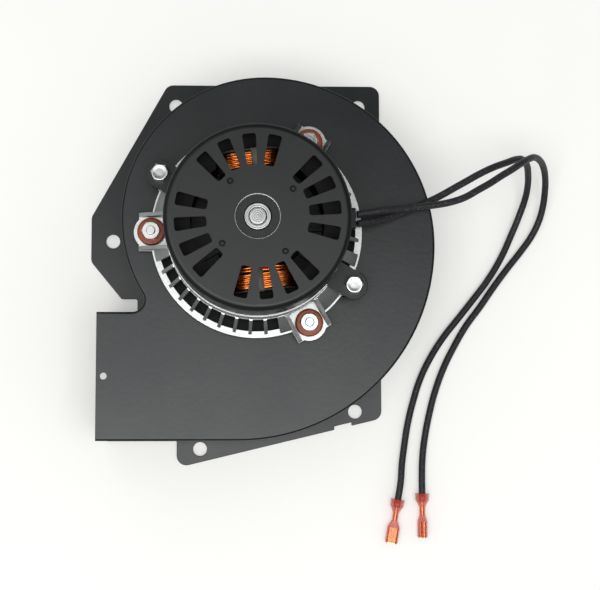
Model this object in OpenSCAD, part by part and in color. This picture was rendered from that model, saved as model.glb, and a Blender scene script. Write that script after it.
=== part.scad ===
// Furnace draft inducer: a sheet metal scroll on a mounting plate, with a vented
// motor on rubber-mounted studs that turns a forward-curved wheel in the scroll.
// Sizes are in millimetres. Z runs along the shaft, from the plate to the motor.
// The origin is on the shaft's axis, at the underside of the mounting plate.

/* [Mounting plate] */
// Thickness of the mounting plate
plate_t = 1.2; // [0.8:0.1:2]
// Shaft up to the top edge
plate_top = 86.5; // [84:0.5:92]
// Shaft to the right edge
plate_right = 65.5; // [62:0.5:72]
// Shaft down to the lower right corner
plate_drop = 89; // [86:0.5:94]
// Slope of the lower edge in degrees
plate_slope = 13.4; // [11:0.2:16]
// Shaft to the left edge of the foot
foot_left = 40.4; // [36:0.2:44]
// Shaft to the upper left corner
shoulder_left = 46.2; // [42:0.2:48]
// Shaft to the left tip
tip_left = 85.4; // [82:0.2:90]
// Shaft up to the top of the left tip
tip_rise = 16.1; // [12:0.1:20]
// Shaft down to the bottom of the left tip
tip_drop = 7.5; // [4:0.1:10]
// Shaft to the start of the bevel under the left tip
bevel_left = 69.4; // [66:0.2:72]
// Shaft to the side of the notch over the outlet
notch_left = 61.2; // [58:0.2:64]
// Shaft down to the top of the notch over the outlet
notch_drop = 27; // [24:0.5:30]
// Radius of the plate's corners
corner_r = 5; // [2:0.5:7]
// Width of the relief in the lower edge
relief_w = 9; // [5:0.5:14]
// Depth of the relief in the lower edge
relief_depth = 1.8; // [1:0.1:3]
// Shaft to the middle of the relief
relief_right = 45.5; // [40:0.5:50]
// Diameter of the mounting holes
hole_d = 7.2; // [5:0.1:8.5]
// Upper and left mounting holes, in from their edges
hole_inset = 11.3; // [9:0.1:13]
// Left mounting hole above the shaft
tip_hole_rise = 3.2; // [0:0.1:8]
// Lower mounting holes, up from the sloped edge
foot_hole_inset = 6.8; // [6:0.1:9]
// Shaft to the upper left mounting hole
shoulder_hole_left = 41.8; // [38:0.1:44]
// Shaft to the lower left mounting hole
foot_hole_left = 28.4; // [24:0.1:30]
// Shaft to the lower right mounting hole
foot_hole_right = 51.8; // [48:0.1:55]

/* [Scroll] */
// Width between the scroll's two plates
scroll_w = 50; // [44:0.5:60]
// Radius of the scroll's first arc
scroll_r = 70.5; // [68.5:0.5:75]
// Growth of the radius from one arc to the next
scroll_step = 12.75; // [11:0.25:15]
// Shaft to the middle arc's centre, across
scroll_x = 4.5; // [2:0.5:6]
// Shaft to the middle arc's centre, upward
scroll_y = -4.5; // [-6:0.5:-2]
// Radius of the tongue where the outlet starts
tongue_r = 6; // [4:0.5:8]
// Shaft down to the outlet's upper wall
outlet_drop = 38; // [35:0.5:42]
// Shaft to the mouth of the outlet
outlet_reach = 77.5; // [72:0.5:95]
// Thickness of the scroll wall
wall_t = 0.9; // [0.6:0.1:1.5]
// Width of the wall's turned-in foot
wall_foot_w = 5; // [3:0.5:6]
// Thickness of the motor-side plate
side_t = 1; // [0.8:0.1:1.5]
// Height of the motor-side plate's turned edge
side_lip_h = 4; // [2:0.5:8]
// Hole in the motor-side plate for the shaft
shaft_hole_d = 24; // [20:0.5:30]
// Diameter of the screw hole at the outlet
outlet_hole_d = 3.3; // [2.5:0.1:5]
// Mouth of the outlet to its screw hole
outlet_hole_inset = 3.6; // [3:0.1:8]
// Radius of the inlet
inlet_r = 38; // [34:0.5:40]
// Height of the inlet's turned-in collar
collar_h = 5; // [3:0.5:8]

/* [Wheel] */
// Diameter of the wheel
wheel_d = 108; // [100:1:112]
// Number of blades
blade_count = 40; // [24:1:48]
// Radial depth of the blades
blade_depth = 9.5; // [8:0.5:10.5]
// Radius of the blades' curve
blade_r = 10; // [9:0.5:14]
// Thickness of the blades
blade_t = 0.6; // [0.4:0.1:1]
// Thickness of the wheel's disc and ring
disc_t = 1; // [0.8:0.1:1.5]
// Gap between the wheel and the motor-side plate
wheel_back_gap = 5; // [3:0.5:8]
// Gap between the wheel and the inlet's collar
wheel_front_gap = 2; // [1:0.5:4]
// Diameter of the wheel's hub
wheel_hub_d = 18; // [15:0.5:22]
// Length of the wheel's hub
wheel_hub_l = 16; // [12:0.5:22]
// Diameter of the set screw
set_screw_d = 4.1; // [3:0.1:5]

/* [Motor mounting] */
// Diameter of the circle that the studs stand on
stud_circle_d = 101.6; // [100:0.2:104]
// Diameter of the studs
stud_d = 4.1; // [3:0.1:4.5]
// Length of the studs above the nuts
stud_end = 1.6; // [0.5:0.1:4]
// Diameter of the rubber grommets
grommet_d = 13.5; // [12.5:0.1:13.8]
// Diameter of the grommets' necks
grommet_neck_d = 10; // [9:0.1:11]
// Height of each grommet's flange
grommet_flange_h = 3.5; // [2.5:0.1:5]
// Wall of the sleeves in the grommets
sleeve_t = 0.85; // [0.5:0.05:1.2]
// Width of the nuts across their flats
nut_af = 7.9; // [7.5:0.1:10]
// Height of the nuts
nut_h = 3.2; // [2.4:0.1:4]

/* [Bracket] */
// Outer diameter of the bracket's flange
flange_d = 102.4; // [101:0.2:104]
// Width of the bracket's flange
flange_w = 3.1; // [2.6:0.1:4]
// Thickness of the flange and the lugs
lug_t = 3; // [2.4:0.1:4]
// Half width of a lug
lug_half_w = 9.1; // [8.9:0.1:9.8]
// Radius of a lug's round end
lug_end_r = 8.5; // [7.6:0.1:9]
// Thickness of the lugs' side walls
lug_wall_t = 1.8; // [1.4:0.1:1.9]
// Stud to the end of a lug's side walls
lug_wall_end = 6; // [4.5:0.1:7]
// Thickness of the ribs
rib_t = 1.6; // [1.2:0.1:2.2]
// Angle from one rib to the next
rib_pitch = 9; // [7:0.5:10]
// Height of the bracket
bracket_h = 13.3; // [12.5:0.1:14.5]
// Height of the bracket's upper rim
rim_h = 3.5; // [2.5:0.1:5]
// Width of the bracket's upper rim beyond the shell
rim_w = 1.3; // [1.2:0.1:1.9]
// Height of the collar that the rim carries round the shell
collar_rise = 13; // [6:0.5:16]
// Width of the three spokes
spoke_w = 10; // [5:0.5:12]
// Shaft to the shell's screws
ear_reach = 53.5; // [52:0.1:55]
// Radius of the shell's ears
ear_r = 6.8; // [6:0.1:8]
// Diameter of the shell's screws
shell_screw_d = 4.1; // [3:0.1:4.5]
// Width of the shell screws' heads across their flats
screw_af = 7.5; // [7:0.1:9]
// Height of the shell screws' heads
screw_head_h = 4.2; // [3:0.1:5]
// Length of the shell screws under their heads
screw_l = 10; // [6:0.5:12]

/* [Shell] */
// Diameter of the motor shell in the bracket's collar
shell_d = 83.6; // [82:0.2:86]
// Growth of the shell's radius above the collar
shell_flare = 1; // [0:0.1:1.4]
// Thickness of the motor shell
shell_t = 0.9; // [0.7:0.1:1.2]
// Radius of the shell's shoulder
shoulder_r = 2.8; // [2:0.2:3.4]
// Shaft to the inner ends of the vent slots
slot_in = 23.2; // [22:0.2:26]
// Shaft to the outer ends of the vent slots
slot_out = 37.8; // [33:0.1:38]
// Width of the vent slots at their inner ends
slot_in_w = 4.6; // [3.5:0.1:5.2]
// Width of the vent slots at their outer ends
slot_out_w = 6.4; // [5:0.1:7.5]
// Radius of the vent slots' corners
slot_corner_r = 1.2; // [0.5:0.1:1.6]
// Angle between slots in a group
slot_pitch = 18.5; // [17:0.5:19.5]
// Shaft to the four ring-shaped dimples
dimple_reach = 20.2; // [17:0.1:20.8]
// Diameter of the dimples
dimple_d = 2.9; // [2:0.1:3.4]

/* [Windings] */
// Height of the lamination stack
stack_h = 20; // [14:0.5:30]
// Diameter of the rotor
rotor_d = 39; // [37:0.1:39.4]
// Air gap between rotor and stator
air_gap = 0.35; // [0.3:0.05:0.6]
// Thickness of the pole shoes
shoe_t = 3.2; // [2.8:0.1:3.4]
// Width of the poles' necks
neck_w = 18; // [14:0.5:18.5]
// Radial depth of the bobbins
bobbin_depth = 9.6; // [8:0.1:10]
// Thickness of the bobbins
bobbin_t = 0.7; // [0.5:0.1:1]
// Thickness of the coils round the bobbins
coil_build = 6; // [4:0.1:6.3]
// Room behind the coils for the bearing
end_clear = 9.2; // [8.5:0.1:14]
// Height of the rotor's end rings
end_ring_h = 4; // [2:0.1:5]
// Height of the cooling fan
fan_h = 5; // [4:0.1:8]

/* [Shaft and bearings] */
// Diameter of the shaft
shaft_d = 8; // [7:0.1:8.6]
// Shaft end beyond the shell
shaft_end = 0.6; // [0:0.1:4]
// Outer diameter of the bearings
bearing_d = 22; // [21.5:0.1:23]
// Width of the bearings
bearing_w = 7; // [6.8:0.1:8]
// Diameter of the bearing balls
ball_d = 3.9; // [3.4:0.1:4]
// Number of balls in each bearing
ball_count = 7; // [6:1:8]

/* [Leads] */
// Diameter of the leads
wire_d = 3.5; // [2.5:0.1:3.8]
// Diameter of the flared end of the terminal sleeves
flare_d = 7.4; // [6.5:0.1:7.6]
// Length of the terminals
terminal_l = 22.4; // [20:0.1:26]

/* [Hidden] */
$fn = 96;

// Clearances: a slip fit, a press fit drawn with a hair of room, and a running gap
slip = 0.05;
press = 0.02;
running = 0.8;
// Further than any outline reaches
far = 300;

// Centres and radii of the scroll's three arcs, and of its tongue
mid_centre = [scroll_x, scroll_y];
left_centre = mid_centre + [0, scroll_step];
low_centre = mid_centre - [scroll_step, 0];
mid_r = scroll_r + scroll_step;
low_r = mid_r + scroll_step;
outlet_low = low_centre.y - low_r;
tongue_y = tongue_r - outlet_drop;
// The tongue's circle bites a hair into the first arc, so that the two cross cleanly
bite = 0.02;
tongue_x = left_centre.x - sqrt((scroll_r + tongue_r - bite) ^ 2 - (left_centre.y - tongue_y) ^ 2);
tongue = [tongue_x, tongue_y];
tongue_angle = atan2(tongue_y - left_centre.y, tongue_x - left_centre.x);

// Levels of the housing
wall_top = plate_t + scroll_w;
side_top = wall_top + side_t;
wheel_back = wall_top - wheel_back_gap;
wheel_front = collar_h + wheel_front_gap;
blade_low = wheel_front + disc_t;
blade_high = wheel_back - disc_t;
wheel_r = wheel_d / 2;
hub_low = blade_high - wheel_hub_l;
hub_bore_r = shaft_d / 2 + press;
swage_h = 0.8;
swage_w = 1.5;
set_screw_z = hub_low + set_screw_d + 2;

// Levels of the motor
lug_low = side_top + grommet_flange_h;
lug_top = lug_low + lug_t;
nut_low = lug_top + grommet_flange_h;
nut_top = nut_low + nut_h;
rim_top = lug_low + bracket_h;
bearing_seat_t = 1.2;
front_seat = lug_low + 0.2;
front_bearing_z = front_seat + bearing_w / 2;
bearing_hub_top = front_seat + bearing_w + 0.5;
fan_low = bearing_hub_top + running;
coil_low = fan_low + fan_h + running;
end_turn = slip + bobbin_t + coil_build;
stack_low = coil_low + end_turn;
stack_top = stack_low + stack_h;
coil_top = stack_top + end_turn;
face_top = coil_top + end_clear;
face_low = face_top - shell_t;
rear_bearing_z = face_low - bearing_w / 2;

// Radii of the motor
stud_r = stud_d / 2;
stud_reach = stud_circle_d / 2;
sleeve_r = stud_r + slip + sleeve_t;
shell_r = shell_d / 2;
shell_in = shell_r - shell_t;
rim_in = shell_r + slip;
rim_out = rim_in + rim_w;
ledge_in = shell_in - 1.5;
flange_r = flange_d / 2;
flange_in = flange_r - flange_w;
bearing_hub_r = bearing_d / 2 + 2.5;
fan_r = ledge_in - 3;
stator_r = shell_in - slip;
bore_r = rotor_d / 2 + air_gap;
shoe_r = bore_r + shoe_t;
bobbin_in = shoe_r + 0.15;
bobbin_out = bobbin_in + bobbin_depth;
coil_half_w = neck_w / 2 + end_turn;
coil_half_h = stack_h / 2 + end_turn;
coil_corner_r = 1.4 * coil_build;
ear_hole_r = shell_screw_d / 2 + 0.25;
ear_gap = asin((ear_r + 0.6) / rim_in);
boss_r = ear_r + 0.4;
boss_web_w = 1.8 * ear_r;
lug_wall_rise = 2.6;
lug_wall_drop = 1.3;
rib_edge = 0.7;

// Angles of the motor's features
lug_angles = [60, 180, 300];
ear_angles = [150, 330];
screw_turns = [22, 30];
pole_angles = [96, 276];
lead_angle = 7.5;
slot_group_angle = 15.5;
dimple_angle = 38;
shade_angle = 46;
shoe_angle = 57;

// Solid parts of the bracket's skirt, beside the lugs and longer towards the ears: start and span
skirt_root = 9.7;
skirt_short = 7;
skirt_long = 17;
skirts = [[lug_angles[0] + skirt_root, skirt_short], [lug_angles[1] + skirt_root, skirt_short],
    [lug_angles[0] - skirt_root - skirt_short, skirt_short],
    [lug_angles[2] - skirt_root - skirt_short, skirt_short],
    [lug_angles[1] - skirt_root - skirt_long, skirt_long], [lug_angles[2] + skirt_root, skirt_long],
    [ear_angles[1] + skirt_root + 1.1, skirt_short]];
// Ribs stand in a fan between each two lugs, clear of the ears and the leads
rib_fans = [119.4, 239.4, 355.6];
rib_count = 9;
ear_room = 17;
lead_room = 11;

// Bearing races meet the balls on the middle circle
pitch_r = (shaft_d / 2 + bearing_d / 2) / 2 + 0.1;
ball_r = ball_d / 2;
ball_room = 0.1;
race_land = 1.5;
// Seals sit in a step cut in the outer race, half their thickness below its face
seal_t = 0.5;
seal_step = 0.85;

// Lead routes: each point is on the lead's centre line, from the bushing to the terminal
outer_route = [[48.5, 8, 65.5], [54, 9, 65], [60, 10, 64.5], [67, 11, 63], [74, 12, 61], [81, 13, 60],
    [88, 14, 59], [95, 15.5, 58], [102, 18, 57], [109, 22, 56], [115, 25.5, 55], [121, 29.5, 53.5],
    [126.5, 33, 51.5], [131.5, 36.5, 48.5], [136, 39.5, 44.5], [140, 41.5, 39.5], [144, 41.5, 33],
    [147.5, 39.5, 25.5], [150, 35, 18], [151, 28.5, 11.5], [150.5, 20.5, 7], [148.5, 13, 4],
    [145, 6, 2.5], [140, -1, 2], [132, -11, 2], [124.5, -21, 2], [117.5, -31, 2], [110, -41, 2],
    [103.5, -52, 2], [98, -63, 2], [93.5, -75, 2], [90.5, -86, 2], [88, -98, 2.2], [86.5, -109, 2.8],
    [86, -118.5, 3.8], [86, -127.5, 3.8]];
inner_route = [[48.5, 3.5, 65.5], [54, 4.5, 64], [60, 6, 61.5], [66, 8, 58.5], [72, 10.5, 56.5],
    [78, 13, 55], [84, 16, 54.5], [90, 19, 54], [97, 23, 53.5], [104, 27, 53], [111, 31, 52],
    [118, 34.5, 50], [125, 37.5, 46.5], [130.5, 40, 42], [135, 41, 36], [138.5, 39.5, 28.5],
    [140.5, 36, 21], [141.5, 31, 14], [141, 25, 8.5], [138.5, 17, 5], [134.5, 7, 2.8],
    [129, -5, 2], [122, -16.5, 2], [114, -27, 2], [106, -37, 2], [98, -47, 2], [91.5, -57, 2],
    [86, -68, 2], [82, -80, 2], [79, -92, 2], [77, -104, 2.2], [75.8, -112.5, 2.8],
    [75, -121.5, 3.8], [73.5, -130.5, 3.8]];
lead_sides = 8;

// The bushing fills a gap in the bracket's rim, just under the shell
bushing_w = 10.4;
bushing_h = 6.6;
bushing_proud = 4.5;
bushing_y = 5.75;
bushing_z = rim_top - 0.2 - bushing_h / 2;
bushing_in = ledge_in + 1.5;
bushing_face = rim_out + bushing_proud;
outer_roll = 65;
inner_roll = 12;

// Terminal lengths: the flare, its taper, the crimped waist and the widening to the tab
flare_l = 3.4;
taper_end = flare_l + 3.2;
waist_end = taper_end + 4;
tab_start = waist_end + 3.7;
waist_d = 3.2;
tab_w = 6.6;
tab_h = 3.4;
tab_wall = 0.4;
contact_end = 0.3;
roll_r = 1.1;

// Directions and angles
function unit(v) = v / norm(v);
function turned(a, r) = r * [cos(a), sin(a)];
function apart(a, b) = abs((a - b + 540) % 360 - 180);
function nearest(a, others) = min([for (b = others) apart(a, b)]);

// Points of the arc of radius r that rounds corner b between a and c
function round_corner(a, b, c, r, steps = 6) =
    let (u = unit(a - b), w = unit(c - b), half = acos(u * w) / 2)
    let (middle = b + unit(u + w) * r / sin(half))
    let (p = b + u * r / tan(half) - middle, q = b + w * r / tan(half) - middle)
    let (sweep = 180 - 2 * half, step = sweep / steps)
    [for (i = [0:steps]) middle + (p * sin(sweep - step * i) + q * sin(step * i)) / sin(sweep)];

// An outline with every corner rounded by its own radius
function rounded(points, radii) = let (n = len(points))
    [for (i = [0:n - 1]) let (before = points[(i + n - 1) % n], after = points[(i + 1) % n])
        each round_corner(before, points[i], after, radii[i])];

// Height of the mounting plate's sloped lower edge
function foot_edge(x) = -plate_drop - (plate_right - x) * tan(plate_slope);

// Direction of a route at point i, and the ring of points round it
function heading(route, i) = unit(route[min(i + 1, len(route) - 1)] - route[max(i - 1, 0)]);
function ring(route, i) = let (t = heading(route, i))
    let (side = unit(cross(t, [0, 0, 1])))
    let (up = cross(side, t))
    let (step = 360 / lead_sides)
    [for (k = [0:lead_sides - 1]) route[i] + wire_d / 2 * (side * cos(step * k) + up * sin(step * k))];

module tube(r_out, r_in, h) {
    difference() {
        cylinder(r = r_out, h = h);
        translate([0, 0, -1]) cylinder(r = r_in, h = h + 2);
    }
}

module hexagon(across_flats, h) {
    cylinder(d = across_flats / cos(30), h = h, $fn = 6);
}

// A hexagon whose upper corners are turned off
module chamfered_hexagon(across_flats, h) {
    intersection() {
        hexagon(across_flats, h);
        cylinder(r1 = across_flats / 2 * 1.02 + h, r2 = across_flats / 2 * 1.02, h = h);
    }
}

module rounded_rectangle(w, h, r) {
    square([w - 2 * r, h], center = true);
    square([w, h - 2 * r], center = true);
    for (x = [-1, 1], y = [-1, 1])
        translate([x * (w / 2 - r), y * (h / 2 - r)]) circle(r);
}

module at_lugs() {
    for (a = lug_angles) rotate(a) translate([stud_reach, 0, 0]) children();
}

module at_ears() {
    for (a = ear_angles) rotate(a) translate([ear_reach, 0, 0]) children();
}

// The scroll's outline, inset by a wall, and run past the outlet's mouth where it is to stay open
module scroll_outline(inset = 0, past = 0) {
    intersection() {
        translate(left_centre) circle(scroll_r - inset);
        polygon([left_centre, left_centre + turned(tongue_angle + 5, far),
            [-far, far], [left_centre.x, far]]);
    }
    intersection() {
        translate(mid_centre) circle(mid_r - inset);
        translate(mid_centre) square(far);
    }
    intersection() {
        translate(low_centre) circle(low_r - inset);
        translate(low_centre - [0, far]) square(far);
    }
    difference() {
        polygon([tongue, left_centre, mid_centre, low_centre,
            [low_centre.x, outlet_low + inset], [tongue.x, outlet_low + inset]]);
        translate(tongue) circle(tongue_r + inset);
    }
    translate([-outlet_reach - past, outlet_low + inset])
        square([outlet_reach + past + tongue.x, -outlet_drop - outlet_low - 2 * inset]);
}

// The straight-edged part of the mounting plate; the scroll's outline joins it where it reaches past
module plate_outline() {
    foot_x = -foot_left;
    inside_y = outlet_low + corner_r;
    relief_l = relief_right - relief_w / 2;
    relief_r = relief_right + relief_w / 2;
    corners = [[-shoulder_left, plate_top], [plate_right, plate_top], [plate_right, -plate_drop],
        [relief_r, foot_edge(relief_r)], [relief_r, foot_edge(relief_r) + relief_depth],
        [relief_l, foot_edge(relief_l) + relief_depth], [relief_l, foot_edge(relief_l)],
        [foot_x, foot_edge(foot_x)], [foot_x, inside_y], [-notch_left, inside_y],
        [-notch_left, -notch_drop], [-bevel_left, -notch_drop],
        [-tip_left, -tip_drop], [-tip_left, tip_rise]];
    small = 0.4;
    radii = [corner_r, corner_r, corner_r, small, small, small, small,
        corner_r, small, small, 1, 2, corner_r, corner_r];
    polygon(rounded(corners, radii));
}

module mounting_plate() {
    holes = [[-shoulder_hole_left, plate_top - hole_inset],
        [plate_right - hole_inset, plate_top - hole_inset],
        [hole_inset - tip_left, tip_hole_rise],
        [-foot_hole_left, foot_edge(-foot_hole_left) + foot_hole_inset],
        [foot_hole_right, foot_edge(foot_hole_right) + foot_hole_inset]];
    color("#34363a") {
        linear_extrude(plate_t) difference() {
            union() {
                plate_outline();
                scroll_outline();
            }
            circle(inlet_r);
            for (p = holes) translate(p) circle(d = hole_d);
        }
        tube(inlet_r + plate_t, inlet_r, collar_h);
    }
}

module scroll_wall() {
    inset = side_t + slip;
    past = 2 * wall_foot_w;
    color("#303236") translate([0, 0, plate_t]) {
        linear_extrude(scroll_w) difference() {
            scroll_outline(inset);
            scroll_outline(inset + wall_t, past);
        }
        linear_extrude(wall_t) difference() {
            scroll_outline(inset);
            scroll_outline(inset + wall_foot_w, past);
        }
    }
}

module motor_side_plate() {
    color("#3a3c40") {
        translate([0, 0, wall_top]) linear_extrude(side_t) difference() {
            scroll_outline();
            circle(d = shaft_hole_d);
            for (a = lug_angles) translate(turned(a, stud_reach)) circle(stud_r + slip);
            translate([outlet_hole_inset - outlet_reach, (outlet_low - outlet_drop) / 2])
                circle(d = outlet_hole_d);
        }
        translate([0, 0, side_top - side_lip_h]) linear_extrude(side_lip_h) difference() {
            scroll_outline();
            scroll_outline(side_t, 2 * side_t);
        }
    }
}

module mount_studs() {
    head_h = 1.2;
    low = wall_top - head_h;
    color("#c9cbcc") at_lugs() translate([0, 0, low]) {
        cylinder(r = 2 * stud_r, h = head_h);
        cylinder(r = stud_r, h = nut_top + stud_end - low);
    }
}

// One grommet: two rounded flanges on a neck that fills the lug's hole
module grommet() {
    round_r = grommet_flange_h / 3;
    rotate_extrude() difference() {
        union() {
            for (z = [side_top, lug_top]) translate([0, z]) {
                square([grommet_d / 2 - round_r, grommet_flange_h]);
                translate([0, round_r]) square([grommet_d / 2, grommet_flange_h - 2 * round_r]);
                for (y = [round_r, grommet_flange_h - round_r])
                    translate([grommet_d / 2 - round_r, y]) circle(round_r);
            }
            translate([0, lug_low]) square([grommet_neck_d / 2, lug_t]);
        }
        translate([0, side_top - 1]) square([sleeve_r + slip, nut_low - side_top + 2]);
    }
}

module isolation_grommets() {
    color("#a5452c") at_lugs() grommet();
}

module grommet_sleeves() {
    color("#b9bcbe") at_lugs() translate([0, 0, side_top])
        tube(sleeve_r, stud_r + slip, nut_low - side_top);
}

module mount_nuts() {
    color("#d5d7d8") at_lugs() translate([0, 0, nut_low]) difference() {
        chamfered_hexagon(nut_af, nut_h);
        translate([0, 0, -1]) cylinder(r = stud_r + slip, h = nut_h + 2);
    }
}

// Section of the bracket's slope from the flange to the upper rim, sunk into both
module slope_section(top, foot) {
    sunk = 1;
    polygon([[rim_out - sunk, rim_top - rim_h + sunk / 2], [rim_out - sunk, rim_top - rib_edge],
        [rim_out + top, rim_top - rib_edge], [flange_r - foot, lug_top + rib_edge],
        [flange_r - foot, lug_top - sunk], [flange_in + sunk / 2, lug_top - sunk]]);
}

// Ribs stand where no ear or lead needs the room
function rib_is_clear(a) = nearest(a, ear_angles) > ear_room && apart(a, lead_angle) > lead_room;

// One side wall of a lug, which rises from the lug's end to the rim
module lug_wall() {
    sunk = 1;
    wall_end = stud_reach + lug_wall_end - 0.1;
    rotate([90, 0, 0]) linear_extrude(lug_wall_t) polygon([[rim_out - sunk, lug_top - sunk],
        [wall_end, lug_top - sunk], [wall_end, lug_top + lug_wall_rise],
        [rim_out, rim_top - lug_wall_drop], [rim_out - sunk, rim_top - lug_wall_drop]]);
}

// The bracket's floor: flange, lugs, feet of the ears' bosses, and spokes to the bearing's hub
module bracket_floor() {
    difference() {
        circle(flange_r);
        circle(flange_in);
    }
    for (a = lug_angles) rotate(a) {
        translate([flange_in + 0.5, -lug_half_w])
            square([stud_reach + lug_wall_end - flange_in - 0.5, 2 * lug_half_w]);
        translate([stud_reach, 0]) circle(lug_end_r);
    }
    for (a = ear_angles) rotate(a) boss_outline(boss_r);
    for (a = lug_angles) rotate(a) translate([bearing_hub_r - 1, -spoke_w / 2])
        square([flange_in - bearing_hub_r + 2, spoke_w]);
}

module boss_outline(r) {
    translate([ear_reach, 0]) circle(r);
    translate([rim_out - 1, -boss_web_w / 2]) square([ear_reach - rim_out + 1, boss_web_w]);
}

module motor_bracket() {
    middle = rib_count / 2 - 0.5;
    color("#c8cacb") difference() {
        union() {
            translate([0, 0, lug_low]) linear_extrude(lug_t) bracket_floor();
            // Upper rim, with the ledge that the shell stands over
            rotate_extrude() translate([ledge_in, rim_top - rim_h]) square([rim_out - ledge_in, rim_h]);
            // Collar that centres the shell, open at the ears
            for (a = ear_angles) rotate(a + ear_gap) rotate_extrude(angle = 180 - 2 * ear_gap)
                translate([rim_in, rim_top - 1]) square([rim_w - 0.1, collar_rise + 1]);
            for (fan = rib_fans, i = [-middle:middle]) let (a = fan + i * rib_pitch)
                if (rib_is_clear(a)) rotate(a) translate([0, rib_t / 2, 0]) rotate([90, 0, 0])
                    linear_extrude(rib_t) slope_section(0.5, 1.5);
            for (skirt = skirts) rotate(skirt[0]) rotate_extrude(angle = skirt[1]) slope_section(0.1, 0.8);
            for (a = lug_angles, y = [lug_wall_t - lug_half_w + 0.1, lug_half_w - 0.1])
                rotate(a) translate([0, y, 0]) lug_wall();
            // Bosses under the shell's ears
            for (a = ear_angles) rotate(a) translate([0, 0, lug_top - 1])
                linear_extrude(rim_top - lug_top + 1) boss_outline(boss_r - 0.2);
            translate([0, 0, front_seat - bearing_seat_t])
                cylinder(r = bearing_hub_r, h = bearing_hub_top - front_seat + bearing_seat_t);
        }
        at_lugs() translate([0, 0, lug_low - 1]) cylinder(r = grommet_neck_d / 2 + slip, h = lug_t + 2);
        at_ears() translate([0, 0, rim_top - screw_l - 1])
            cylinder(r = shell_screw_d / 2 + slip, h = screw_l + 2);
        translate([0, 0, front_seat]) cylinder(r = bearing_d / 2 + press, h = bearing_w + 2);
        translate([0, 0, front_seat - bearing_seat_t - 1])
            cylinder(r = bearing_d / 2 - 1.5, h = bearing_w);
        // Way out for the leads
        translate([ledge_in - 2, bushing_y - bushing_w / 2 - slip, bushing_z - bushing_h / 2 - slip])
            cube([rim_out - ledge_in + 4, bushing_w + 2 * slip, bushing_h + 1]);
    }
}

// A cup section that widens above the collar and has a rounded shoulder
module cup_section(r, low, high, shoulder) {
    top_r = r + shell_flare;
    step_low = rim_top + collar_rise + 1;
    step_high = step_low + 4;
    polygon([[0, low], [r, low], [r, step_low], [top_r, step_high], [top_r, high - shoulder],
        [0, high - shoulder]]);
    translate([0, step_high]) square([top_r - shoulder, high - step_high]);
    translate([top_r - shoulder, high - shoulder]) circle(shoulder);
}

module vent_slot() {
    corners = [[slot_in, -slot_in_w / 2], [slot_out, -slot_out_w / 2],
        [slot_out, slot_out_w / 2], [slot_in, slot_in_w / 2]];
    polygon(rounded(corners, [for (i = [0:3]) slot_corner_r]));
}

// The two ears turned out at the shell's open end
module shell_ears() {
    relief = 0.2;
    half_w = ear_r - 0.1;
    difference() {
        for (a = ear_angles) rotate(a) {
            translate([ear_reach, 0]) circle(ear_r);
            translate([shell_in - 2, -half_w]) square([ear_reach - shell_in + 2, 2 * half_w]);
        }
        circle(shell_in + relief);
    }
}

module motor_shell() {
    pocket_r = bearing_d / 2 + press;
    cup_low = rim_top + shell_t / 3;
    color("#2c2d30") difference() {
        union() {
            rotate_extrude() {
                difference() {
                    cup_section(shell_r, cup_low, face_top, shoulder_r);
                    cup_section(shell_in, cup_low - 1, face_low, shoulder_r - shell_t);
                }
                // Pocket that holds the rear bearing
                translate([pocket_r, face_low - bearing_w]) square([shell_t, bearing_w + shell_t / 2]);
            }
            translate([0, 0, rim_top]) linear_extrude(shell_t) shell_ears();
        }
        translate([0, 0, face_low - 1]) {
            cylinder(r = bearing_d / 2 - 0.6, h = shell_t + 2);
            for (quarter = [0:90:270], i = [-1.5:1.5])
                rotate(slot_group_angle + quarter + i * slot_pitch) linear_extrude(shell_t + 2) vent_slot();
        }
        for (quarter = [0:90:270]) rotate(dimple_angle + quarter)
            translate([dimple_reach, 0, face_top - 0.8 * shell_t]) tube(dimple_d / 2, dimple_d / 4, shell_t);
        at_ears() translate([0, 0, rim_top - 1]) cylinder(r = ear_hole_r, h = shell_t + 2);
    }
}

module shell_screws() {
    color("#cfd1d2") for (i = [0, 1])
        rotate(ear_angles[i]) translate([ear_reach, 0, rim_top + shell_t]) rotate(screw_turns[i]) {
            chamfered_hexagon(screw_af, screw_head_h);
            translate([0, 0, -screw_l]) cylinder(d = shell_screw_d, h = screw_l);
        }
}

// A shading ring's frame in its own axes, grown by a clearance to cut its notch
module shading_frame(grow = 0) {
    bar = 2;
    tip_w = 7.8;
    difference() {
        translate([bore_r + 0.4 - grow, -tip_w / 2 - bar - grow, stack_low - bar - slip - grow])
            cube([bar + 2 * grow, tip_w + 2 * bar + 2 * grow, stack_h + 2 * (bar + slip + grow)]);
        translate([0, -tip_w / 2 + grow, stack_low - slip + grow])
            cube([far, tip_w - 2 * grow, stack_h + 2 * slip - 2 * grow]);
    }
}

module stator_core() {
    coil_room = 0.6;
    window_x = bobbin_out + 0.15;
    color("#6d7276") difference() {
        translate([0, 0, stack_low]) linear_extrude(stack_h) rotate(pole_angles[0]) {
            difference() {
                circle(stator_r);
                circle(window_x - 2);
                square([2 * window_x, 2 * (coil_half_w + coil_room)], center = true);
            }
            for (a = [0, 180]) rotate(a) {
                difference() {
                    translate([bore_r, -neck_w / 2]) square([window_x - bore_r + 1, neck_w]);
                    circle(bore_r);
                }
                intersection() {
                    difference() {
                        circle(shoe_r);
                        circle(bore_r);
                    }
                    polygon([[0, 0], turned(-shoe_angle, far), [far, 0], turned(shoe_angle, far)]);
                }
            }
        }
        for (a = pole_angles) rotate(a + shade_angle) shading_frame(0.1);
    }
}

module shading_rings() {
    color("#b06a3c") for (a = pole_angles) rotate(a + shade_angle) shading_frame();
}

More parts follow.
